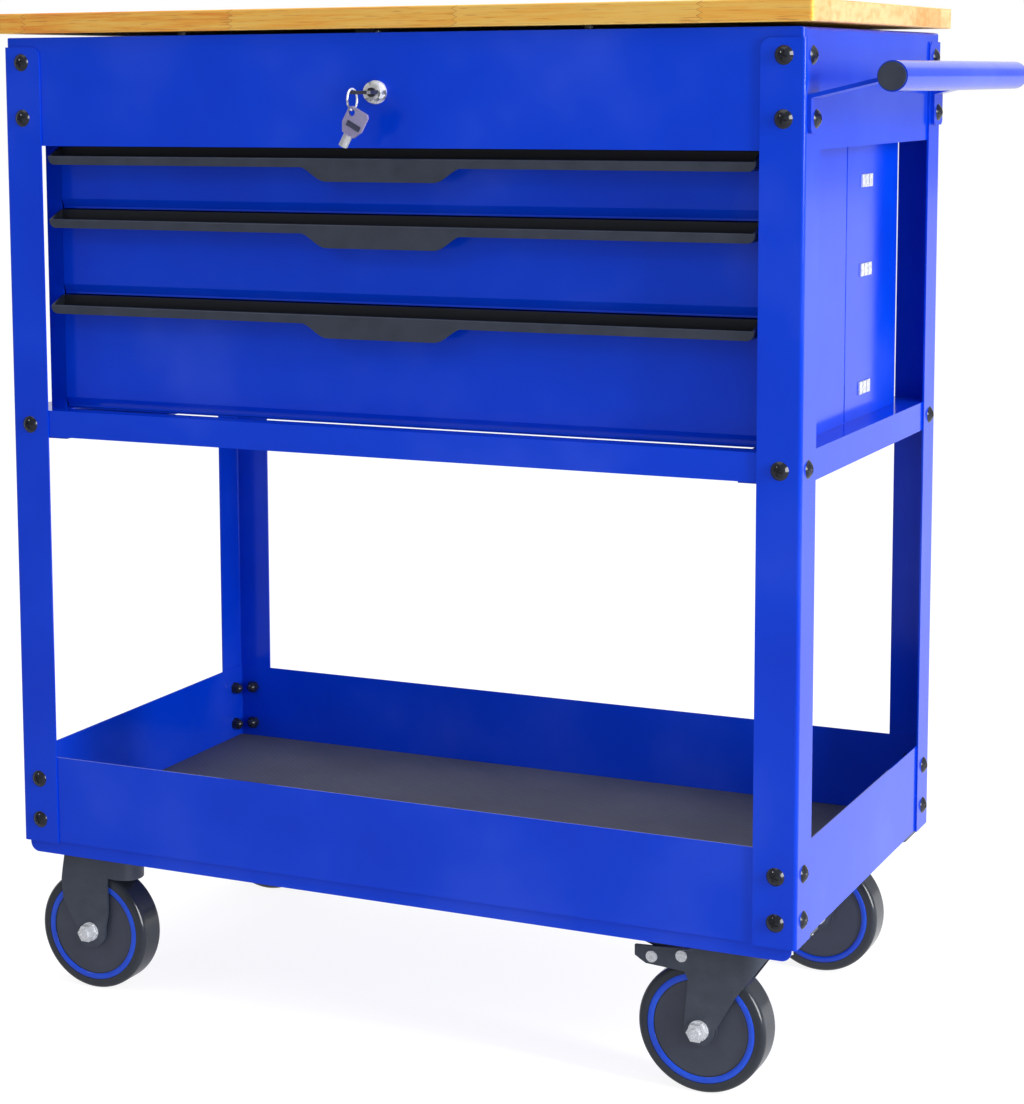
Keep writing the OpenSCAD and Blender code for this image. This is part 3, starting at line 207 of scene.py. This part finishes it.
# the room that gloss mirrors is bright behind the cart, dimmer at its right and dark in front,
# with one bright card at the front right; a band is where a level fades, along a unit direction
studio = {
    "skyLevel": 0.66,
    "mirrorBack": 0.98,
    "mirrorFront": 0.16,
    "mirrorRight": 0.40,
    "backBand": (-0.35, 0.35),
    "rightBands": ((0.08, 0.16), (0.0, 0.4), (0.45, 0.7)),
    "cardLevel": 12.0,
    "cardRight": (0.70, 0.76),
    "cardBack": ((-0.66, -0.60), (-0.20, -0.12)),
    "cardHeight": (0.46, 0.56),
    "lamps": [
        # name, place, aim, width, height, watts, shows in gloss
        ("keyStrip", (2.85, -0.60, 1.12), (0.3, -0.1, 0.5), 0.36, 2.0, 96.0, False),
        ("topSoft", (-0.2, -0.3, 3.2), (0.0, 0.0, 0.6), 2.2, 2.2, 18.0, True),
        ("leftSpot", (-1.7, -2.3, 2.3), (0.0, -0.1, 0.6), 0.3, 0.3, 8.0, True),
    ],
}


def setWorld():
    world = bpy.data.worlds.new("studio")
    bpy.context.scene.world = world
    world.use_nodes = True
    bench = Bench(world.node_tree)
    x, y, z = bench.axes(bench.add("ShaderNodeTexCoord", out="Generated"))
    rightX, rightY, rightZ = studio["rightBands"]
    right = x.between(*rightX) * y.between(*rightY) * (1 - z.size().between(*rightZ))
    back = studio["mirrorBack"] - right * (studio["mirrorBack"] - studio["mirrorRight"])
    cardStart, cardEnd = studio["cardBack"]
    card = x.between(*studio["cardRight"]) * y.between(*cardStart) * (1 - y.between(*cardEnd))
    card = card * (1 - z.size().between(*studio["cardHeight"]))
    behind = y.between(*studio["backBand"])
    mirror = behind * (back - studio["mirrorFront"]) + studio["mirrorFront"] + card * studio["cardLevel"]
    eye = (bench.path("Is Camera Ray") + bench.path("Is Transmission Ray")).capped()
    gloss = bench.path("Is Glossy Ray")
    level = eye + gloss * mirror + (1 - (eye + gloss).capped()) * studio["skyLevel"]
    glow = bench.add("ShaderNodeBackground", {}, {"Color": (1, 1, 1, 1), "Strength": level})
    bench.add("ShaderNodeOutputWorld", {}, {"Surface": glow})


# white paper that looks pale to the camera and keeps the shadow; gloss sees it brighter behind the cart
paperFloor = {
    "size": 30.0,
    "drop": 0.0004,
    "colour": (0.82, 0.82, 0.82, 1.0),
    "seen": (0.26, 0.26, 0.26, 1.0),
    "lift": 0.87,
    "mirrorFront": 0.05,
    "mirrorBack": 0.74,
    "backBand": (-0.5, 0.3),
}


def paintFloor():
    material = bpy.data.materials.new("floorPaper")
    material.use_nodes = True
    bench = Bench(material.node_tree)
    eye, gloss = bench.path("Is Camera Ray"), bench.path("Is Glossy Ray")
    colour = bench.blend((eye + gloss).capped(), paperFloor["colour"], paperFloor["seen"])
    paper = bench.add("ShaderNodeBsdfDiffuse", {}, {"Color": colour})
    behind = bench.axes(bench.place())[1].between(*paperFloor["backBand"])
    mirror = behind * (paperFloor["mirrorBack"] - paperFloor["mirrorFront"]) + paperFloor["mirrorFront"]
    glow = eye * paperFloor["lift"] + gloss * mirror
    lift = bench.add("ShaderNodeEmission", {}, {"Color": (1, 1, 1, 1), "Strength": glow})
    both = bench.add("ShaderNodeAddShader", {}, {0: paper, 1: lift})
    bench.add("ShaderNodeOutputMaterial", {}, {"Surface": both})
    return material


def setFloor():
    half = paperFloor["size"] / 2
    corners = [(-half, -half, 0), (half, -half, 0), (half, half, 0), (-half, half, 0)]
    mesh = bpy.data.meshes.new("floor")
    mesh.from_pydata(corners, [], [(0, 1, 2, 3)])
    mesh.materials.append(paintFloor())
    floor = bpy.data.objects.new("floor", mesh)
    floor.location.z = -paperFloor["drop"]
    bpy.context.scene.collection.objects.link(floor)


def setLamps():
    for name, place, aim, width, height, watts, shows in studio["lamps"]:
        data = bpy.data.lights.new(name, "AREA")
        data.shape = "RECTANGLE"
        data.size, data.size_y, data.energy = width, height, watts
        lamp = bpy.data.objects.new(name, data)
        lamp.location = place
        lamp.visible_glossy = shows
        lamp.rotation_euler = (Vector(aim) - Vector(place)).to_track_quat("-Z", "Y").to_euler()
        bpy.context.scene.collection.objects.link(lamp)


setCamera()
setWorld()
setFloor()
setLamps()
bpy.context.scene.view_settings.view_transform = "Standard"
print("studio ready")

# powder coat: an even blue, darker and paler in slow clouds, with a fine orange peel
bluePowder = {
    "colour": tint(2, 58, 203),
    "paler": tint(34, 70, 208),
    "deep": tint(1, 52, 195),
    "colourStops": (0.3, 0.52, 0.75),
    "mottleScale": 7.0,
    "peelScale": 520.0,
    "peelDepth": 0.000012,
    "sheenScale": 34.0,
    "roughness": (0.10, 0.17),
    "fleckScale": 1560.0,
    "fleckRoughness": 0.03,
}


def paintBlue(bench):
    place = bench.place()
    mottle = bench.noise(place, bluePowder["mottleScale"], 3.0, 0.55)
    colours = (bluePowder["deep"], bluePowder["colour"], bluePowder["paler"])
    colour = bench.ramp(mottle, list(zip(bluePowder["colourStops"], colours)))
    peel = bench.noise(place, bluePowder["peelScale"], 1.0, 0.4)
    fleck = bench.noise(place, bluePowder["fleckScale"], 0.0)
    low, high = bluePowder["roughness"]
    sheen = bench.noise(place, bluePowder["sheenScale"], 2.0)
    rough = low + sheen * (high - low) + fleck * bluePowder["fleckRoughness"]
    return {"Base Color": colour, "Roughness": rough, "Normal": bench.bump(peel, bluePowder["peelDepth"])}


# black powder coats; on a handle the inside of the lip, from grooveStart behind its face, is darkened as painted
# shade
blackPowders = {
    "handle": {
        "colour": tint(44, 50, 64),
        "light": tint(55, 62, 77),
        "peelScale": 900.0,
        "peelDepth": 0.00004,
        "roughness": 0.36,
        "groove": tint(9, 12, 18),
        "grooveShare": 0.85,
        "grooveStart": 0.0016,
        "grooveFade": 0.002,
        "lipFace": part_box("drawer_handle_1")[0].y,
    },
    "caster": {
        "colour": tint(52, 58, 71),
        "light": tint(66, 73, 88),
        "peelScale": 1100.0,
        "peelDepth": 0.00003,
        "roughness": 0.40,
    },
    "bolt": {
        "colour": tint(24, 26, 32),
        "light": tint(40, 43, 52),
        "peelScale": 1500.0,
        "peelDepth": 0.000008,
        "roughness": 0.13,
    },
}
blackMottleScale = 60.0


def paintBlack(settings):
    def paint(bench):
        place = bench.place()
        mottle = bench.noise(place, blackMottleScale, 4.0, 0.6)
        grain = bench.noise(place, settings["peelScale"], 2.0, 0.6)
        stops = [(0.35, settings["colour"]), (0.68, settings["light"])]
        colour = bench.ramp(mottle * 0.6 + grain * 0.4, stops)
        # painted shade: behind the lip face the handle's groove is darkened
        if "groove" in settings:
            depth = bench.axes(place)[1] - settings["lipFace"]
            start = settings["grooveStart"]
            shadedGroove = depth.between(start, start + settings["grooveFade"])
            colour = bench.blend(shadedGroove * settings["grooveShare"], colour, settings["groove"])
        rough = settings["roughness"] + mottle * 0.1 + grain * 0.05 - 0.07
        return {"Base Color": colour, "Roughness": rough, "Normal": bench.bump(grain, settings["peelDepth"])}

    return paint


# plated metal: crystals of the zinc, and on the chrome sharp-edged patches of painted reflection, light and dark
plating = {
    "zinc": {
        "colour": tint(236, 238, 242),
        "shade": tint(206, 210, 216),
        "roughness": (0.16, 0.34),
        "cellScale": 420.0,
        "brushDepth": 0.00001,
    },
    # the chrome's colour and shade are the bright and dark of its painted reflections
    "chrome": {
        "colour": tint(246, 247, 249),
        "shade": tint(120, 124, 134),
        "edge": (0.30, 0.44),
        "roughness": (0.05, 0.12),
        "cellScale": 300.0,
        "brushDepth": 0.000004,
    },
}
brushMarks = {"scale": 900.0, "stretch": (1.0, 0.12, 1.0)}


def paintPlate(settings):
    def paint(bench):
        place = bench.place()
        spangleAndReflectionCells = bench.cells(place, settings["cellScale"], out="Color")
        patch = bench.axes(spangleAndReflectionCells)[0]
        brush = bench.noise(bench.stretch(place, brushMarks["stretch"]), brushMarks["scale"], 3.0, 0.6)
        haze = bench.noise(place, 90.0, 3.0)
        light = patch * 0.4 + haze * 0.6
        # on the chrome the mix is sharpened into patches of painted reflection, bright and dark
        if "edge" in settings:
            light = light.between(*settings["edge"])
        colour = bench.blend(light, settings["shade"], settings["colour"])
        low, high = settings["roughness"]
        rough = low + haze * (high - low) + patch * 0.04
        return {"Base Color": colour, "Roughness": rough, "Normal": bench.bump(brush, settings["brushDepth"])}

    return paint


# finger-jointed board: strips along X, each made of staves that meet in zigzag joints
oiledWood = {
    "stripWidth": 0.0378,
    "stripStart": 0.0004,
    "staveLength": 0.193,
    "firstJoint": 0.030,
    "fingerPitch": 0.0042,
    "fingerDepth": 0.0045,
    "rowSeed": 3.7,
    "pale": tint(255, 215, 106),
    "honey": tint(255, 191, 70),
    "brown": tint(244, 148, 40),
    "toneStops": (0.45, 0.56, 0.70),
    "line": tint(160, 98, 36),
    "pore": tint(190, 112, 38),
    "endPale": tint(212, 186, 130),
    "endTan": tint(210, 144, 78),
    "fibreScale": (5.0, 90.0, 150.0),
    "figureScale": (5.0, 22.0, 30.0),
    "poreScale": (40.0, 900.0, 900.0),
    "poreBand": (0.60, 0.70),
    "poreShare": 0.6,
    "jointBand": (0.0006, 0.0028),
    "jointShare": 0.5,
    "glueBand": (0.004, 0.014),
    "glueShare": 0.45,
    "glueShareEnd": 0.4,
    "ringScale": (30.0, 55.0),
    "ringBand": (0.42, 0.66),
    "endCastBand": (0.3, 0.95),
    "dotScale": 1100.0,
    "dotSize": 0.35,
    "endFacing": (0.6, 0.8),
    "reliefDepth": 0.00012,
}


def toSeam(share):
    # distance to the nearest whole number, as a share of the piece's length or width
    return 0.5 - (share.fraction() - 0.5).size()


def paintWood(bench):
    wood = oiledWood
    x, y, z = bench.axes(bench.place())
    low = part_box("wood_top")[0]

    # which strip and which stave a point is in
    row = ((y - low.y + wood["stripStart"]) / wood["stripWidth"]).floor()
    rowJump = bench.add("ShaderNodeTexWhiteNoise", {"noise_dimensions": "1D"}, {"W": row + wood["rowSeed"]})
    zigzag = ((z / wood["fingerPitch"]).fraction() - 0.5).size() * (2 * wood["fingerDepth"])
    start = low.x + wood["firstJoint"] - wood["staveLength"] - wood["fingerDepth"] / 2
    along = (x - start + zigzag) / wood["staveLength"] + rowJump * row.capped()
    stave = bench.vector(row + 0.5, along.floor() + 0.5, 0.0)
    dice = bench.add("ShaderNodeTexWhiteNoise", {"noise_dimensions": "3D"}, {"Vector": stave}, out="Color")
    cast, roll, lift = bench.axes(dice)
    shift = roll * 7.0

    # long grain
    fibreX, fibreY, fibreZ = wood["fibreScale"]
    fibre = bench.vector(x * fibreX + shift, y * fibreY + shift, z * fibreZ + lift * 5.0)
    grain = bench.noise(fibre, 3.2, 6.0, 0.66)
    figureX, figureY, figureZ = wood["figureScale"]
    figure = bench.vector(x * figureX + shift, y * figureY + shift, z * figureZ)
    figure = bench.noise(figure, 2.0, 3.0, 0.5)
    poreX, poreY, poreZ = wood["poreScale"]
    pores = bench.noise(bench.vector(x * poreX + shift, y * poreY, z * poreZ), 1.0, 1.0, 0.5)
    poreMask = pores.between(*wood["poreBand"]) * wood["poreShare"]
    colours = (wood["brown"], wood["honey"], wood["pale"])
    tone = grain * 0.75 + figure * 0.22 + cast * 0.2
    face = bench.ramp(tone, list(zip(wood["toneStops"], colours)))
    face = bench.blend(poreMask, face, wood["pore"])
    joint = 1 - toSeam(along).between(*wood["jointBand"])
    glue = 1 - toSeam((y - low.y) / wood["stripWidth"]).between(*wood["glueBand"])
    seams = (joint * wood["jointShare"] + glue * wood["glueShare"]).capped()
    face = bench.blend(seams, face, wood["line"])

    # end grain
    ringY, ringZ = wood["ringScale"]
    rings = bench.noise(bench.vector(y * ringY + shift, z * ringZ + shift, 0.0), 2.2, 3.0, 0.55)
    tan = rings.between(*wood["ringBand"]) * 0.55 + cast.between(*wood["endCastBand"]) * 0.6
    dots = bench.cells(bench.vector(y, z, 0.0), wood["dotScale"])
    end = bench.blend(tan.capped(), wood["endPale"], wood["endTan"])
    end = bench.blend((wood["dotSize"] - dots).capped() * 0.5, end, wood["pore"])
    end = bench.blend(glue * wood["glueShareEnd"], end, wood["line"])

    sideways = bench.axes(bench.facing())[0].size().between(*wood["endFacing"])
    rough = 0.34 + grain * 0.12 + poreMask * 0.2
    height = grain * 0.5 - poreMask * 0.6 - joint * 0.8 - glue * 0.5
    return {
        "Base Color": bench.blend(sideways, face, end),
        "Roughness": rough,
        "Normal": bench.bump(height, wood["reliefDepth"]),
    }


def moulded(colour, light, grainScale, grainDepth, roughness):
    return {
        "colour": tint(*colour),
        "light": tint(*light),
        "grainScale": grainScale,
        "grainDepth": grainDepth,
        "roughness": roughness,
    }


# moulded rubber and plastic
rubbers = {
    "tyre": moulded((38, 42, 50), (49, 54, 63), 700.0, 0.00002, 0.15),
    "hub": moulded((53, 58, 73), (65, 71, 87), 1300.0, 0.00004, 0.46),
    "bumper": moulded((24, 25, 27), (38, 40, 43), 900.0, 0.00005, 0.6),
    "keyBow": moulded((122, 118, 150), (148, 143, 178), 900.0, 0.00003, 0.3),
    "keyDark": moulded((40, 42, 52), (62, 64, 76), 900.0, 0.00003, 0.35),
    "ring": moulded((8, 64, 200), (20, 80, 214), 800.0, 0.00002, 0.3),
    "label": moulded((48, 50, 74), (64, 66, 92), 1400.0, 0.00001, 0.35),
}
dustScale = 26.0


def paintRubber(settings):
    def paint(bench):
        place = bench.place()
        dust = bench.noise(place, dustScale, 4.0, 0.6)
        grain = bench.noise(place, settings["grainScale"], 2.0, 0.55)
        stops = [(0.38, settings["colour"]), (0.7, settings["light"])]
        return {
            "Base Color": bench.ramp(dust * 0.7 + grain * 0.3, stops),
            "Roughness": settings["roughness"] + dust * 0.14 - 0.07,
            "Normal": bench.bump(grain, settings["grainDepth"]),
        }

    return paint


# foam mat with a fine dimple, dusty in broad patches
matLiner = {
    "colour": tint(64, 67, 80),
    "light": tint(84, 87, 100),
    "dimplePitch": 0.0028,
    "foamScale": 1400.0,
    "dustScale": 9.0,
    "depth": 0.00035,
}


def paintLiner(bench):
    place = bench.place()
    x, y, _ = bench.axes(place)
    pitch = matLiner["dimplePitch"]
    dimple = (x / pitch * math.pi).sine() * (y / pitch * math.pi).sine()
    foam = bench.noise(place, matLiner["foamScale"], 2.0, 0.6)
    dust = bench.noise(place, matLiner["dustScale"], 4.0, 0.6)
    stops = [(0.35, matLiner["colour"]), (0.7, matLiner["light"])]
    return {
        "Base Color": bench.ramp(dust * 0.75 + foam * 0.25, stops),
        "Roughness": 0.62 + dust * 0.16,
        "Normal": bench.bump(dimple * 0.5 + foam * 0.4, matLiner["depth"]),
    }


# the hanging key leans in its ring; bowEnd is where its moulded bow stops and the barrel starts
keyShape = {
    "lean": 29.0,
    "holeBelowTop": 0.004905,
    "bowEnd": 0.0165,
    "bowHalf": 0.0013,
    "metal": tint(228, 229, 232),
    # painted shade: the barrel's darker streaks
    "shade": tint(150, 152, 160),
    "metallic": 0.4,
}


def keyHole():
    # middle of the hanging key's ring hole
    low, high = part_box("spare_key")
    swing = [joint for joint in frame["joints"] if joint["name"] == "spare_key_swing"][0]
    return Vector((swing["pos_m"][0], (low.y + high.y) / 2, high.z - keyShape["holeBelowTop"]))


def paintSpareKey(bench):
    # a moulded bow over a bright metal barrel, told apart by the distance along the key
    bow = paintRubber(rubbers["keyBow"])(bench)
    place = bench.place()
    lean = math.radians(keyShape["lean"])
    axis = Vector((math.sin(lean), 0, math.cos(lean)))
    along = bench.add("ShaderNodeVectorMath", {"operation": "DOT_PRODUCT"}, {0: place, 1: axis}, out="Value")
    barrel = (keyHole().dot(axis) - keyShape["bowEnd"] - along).between(-0.0002, 0.0002)
    # painted shade in streaks along the metal barrel
    barrelShadeStreaks = bench.noise(bench.stretch(place, (1.0, 1.0, 0.2)), 1500.0, 2.0)
    metal = bench.blend(barrelShadeStreaks, keyShape["shade"], keyShape["metal"])
    return {
        "Base Color": bench.blend(barrel, bow["Base Color"], metal),
        "Roughness": bow["Roughness"] - barrel * 0.14,
        "Metallic": barrel * keyShape["metallic"],
        "Normal": bow["Normal"],
    }


lacquer = {"IOR": 1.4, "Specular IOR Level": 0.5}
satin = {"IOR": 1.5, "Specular IOR Level": 0.5}
finishes = {
    "powder_coat": finish("bluePowderCoat", paintBlue, lacquer),
    "handle_black": finish("handleBlack", paintBlack(blackPowders["handle"]), satin),
    "caster_black": finish("casterBlack", paintBlack(blackPowders["caster"]), satin),
    "fastener_black": finish("boltBlack", paintBlack(blackPowders["bolt"]), satin),
    "zinc": finish("zincPlate", paintPlate(plating["zinc"]), {"Metallic": 0.45}),
    "chrome": finish("chromePlate", paintPlate(plating["chrome"]), {"Metallic": 0.4}),
    "wood": finish("oiledWood", paintWood, satin),
    "tyre": finish("tyreRubber", paintRubber(rubbers["tyre"]), satin),
    "hub": finish("hubPlastic", paintRubber(rubbers["hub"]), satin),
    "liner": finish("trayMat", paintLiner, satin),
    "bumper": finish("bumperRubber", paintRubber(rubbers["bumper"]), satin),
    "key_plastic": finish("keyBow", paintSpareKey, satin),
    "key_black": finish("keyDark", paintRubber(rubbers["keyDark"]), satin),
}
ringFinish = finish("wheelRingBlue", paintRubber(rubbers["ring"]), satin)
labelFinish = finish("keyLabel", paintRubber(rubbers["label"]), satin)

for part in frame["record"]["subparts"]:
    node = frame["nodes"][part["node"]]
    node.data.materials.clear()
    node.data.materials.append(finishes[part["material_slot"]])
    for face in node.data.polygons:
        face.material_index = 0
print("finishes on:", len(finishes))


def piece(name, points, faces, material, body, smooth=True):
    mesh = bpy.data.meshes.new(name)
    mesh.from_pydata(points, [], faces)
    shaped = bmesh.new()
    shaped.from_mesh(mesh)
    bmesh.ops.remove_doubles(shaped, verts=shaped.verts, dist=1e-7)
    bmesh.ops.recalc_face_normals(shaped, faces=shaped.faces)
    shaped.to_mesh(mesh)
    shaped.free()
    for face in mesh.polygons:
        face.use_smooth = smooth
    mesh.materials.append(material)
    added = bpy.data.objects.new(name, mesh)
    bpy.context.scene.collection.objects.link(added)
    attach(added, body)


def joinLoops(faces, first, second, count):
    # quads between two closed loops of points, which start at first and at second
    for k in range(count):
        after = (k + 1) % count
        faces.append((first + k, first + after, second + after, second + k))


# crowned blue band in the groove of each wheel, on both faces; radii and heights off the face
wheelRing = {
    "inner": 0.0381,
    "outer": 0.0430,
    "seat": 0.00092,
    "proud": 0.00035,
    "crownShare": 0.94,
    "crownSteps": 7,
    "steps": 112,
}


def ringOutline():
    # half width and lift of each point round the band's section
    half = (wheelRing["outer"] - wheelRing["inner"]) / 2
    seat, proud = wheelRing["seat"], wheelRing["proud"]
    outline = [(-half, -seat), (-half, -proud)]
    for k in range(wheelRing["crownSteps"] + 1):
        turn = math.pi * (1 - k / wheelRing["crownSteps"])
        outline.append((half * wheelRing["crownShare"] * math.cos(turn), proud * (2 * math.sin(turn) - 1)))
    return outline + [(half, -proud), (half, -seat)]


def ringShape(centre, halfWidth):
    points, faces = [], []
    mid = (wheelRing["inner"] + wheelRing["outer"]) / 2
    steps = wheelRing["steps"]
    outline = ringOutline()
    count = len(outline)
    for side in (-1, 1):
        start = len(points)
        for step in range(steps):
            turn = 2 * math.pi * step / steps
            for out, lift in outline:
                x = centre.x + (mid + out) * math.cos(turn)
                z = centre.z + (mid + out) * math.sin(turn)
                points.append((x, centre.y + side * (halfWidth + lift), z))
        for step in range(steps):
            after = (step + 1) % steps
            joinLoops(faces, start + step * count, start + after * count, count)
    return points, faces


for corner in ("front_left", "front_right", "rear_left", "rear_right"):
    low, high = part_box("wheel_tyre_" + corner)
    points, faces = ringShape((low + high) / 2, (high.y - low.y) / 2)
    piece("wheel_ring_" + corner, points, faces, ringFinish, "wheel_" + corner)
print("wheel rings in place")

# bare label panel on each face of the hanging key's bow; a band is (inset, lift) round its edge
keyLabel = {
    "width": 0.0122,
    "height": 0.0042,
    "corner": 0.0005,
    "cornerSteps": 6,
    "fromHole": (0.0062, -0.0082),
    "bands": [(0.0, -0.0001), (0.0, 0.0003), (0.0006, 0.0003), (0.0009, 0.00012)],
}


def labelOutline(inset):
    corner, steps = keyLabel["corner"], keyLabel["cornerSteps"]
    wide = keyLabel["width"] / 2 - inset - corner
    tall = keyLabel["height"] / 2 - inset - corner
    outline = []
    for sideX, sideY, start in ((1, 1, 0), (-1, 1, 90), (-1, -1, 180), (1, -1, 270)):
        for k in range(steps + 1):
            turn = math.radians(start + 90 * k / steps)
            outline.append((sideX * wide + corner * math.cos(turn), sideY * tall + corner * math.sin(turn)))
    return outline


def addKeyLabel():
    hole = keyHole()
    lean = Matrix.Rotation(math.radians(keyShape["lean"]), 4, "Y")
    points, faces = [], []
    for side in (-1, 1):
        first = len(points)
        for inset, lift in keyLabel["bands"]:
            outline = labelOutline(inset)
            for px, py in outline:
                x, z = px + keyLabel["fromHole"][0], py + keyLabel["fromHole"][1]
                points.append(tuple(hole + lean @ Vector((x, side * (keyShape["bowHalf"] + lift), z))))
        count = len(outline)
        last = len(points) - count
        for loop in range(first, last, count):
            joinLoops(faces, loop, loop + count, count)
        faces.append(tuple(range(last, last + count)))
        faces.append(tuple(range(first, first + count)))
    piece("key_label", points, faces, labelFinish, "hanging_key", smooth=False)


addKeyLabel()
print("key label in place")

# the folded seam that runs down each side wall of the drawer cabinet
wallSeam = {
    "behindFront": 0.1550,
    "halfWidth": 0.0007,
    "proud": 0.00035,
    "sunk": 0.0003,
    "endGap": 0.0008,
    "steps": 8,
}


def addWallSeams():
    low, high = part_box("cabinet_shell")
    middle = low.y + wallSeam["behindFront"]
    half, steps = wallSeam["halfWidth"], wallSeam["steps"]
    for name, wall, side in (("left", low.x, -1), ("right", high.x, 1)):
        points, faces = [], []
        for z in (low.z + wallSeam["endGap"], high.z - wallSeam["endGap"]):
            for k in range(steps + 1):
                turn = math.pi * k / steps
                x = wall + side * wallSeam["proud"] * math.sin(turn)
                points.append((x, middle - half * math.cos(turn), z))
            points += [(wall - side * wallSeam["sunk"], middle + y * half, z) for y in (1, -1)]
        count = len(points) // 2
        joinLoops(faces, 0, count, count)
        faces += [tuple(range(count)), tuple(range(count, 2 * count))]
        piece("cabinet_seam_" + name, points, faces, finishes["powder_coat"], "frame")


addWallSeams()
print("wall seams in place")
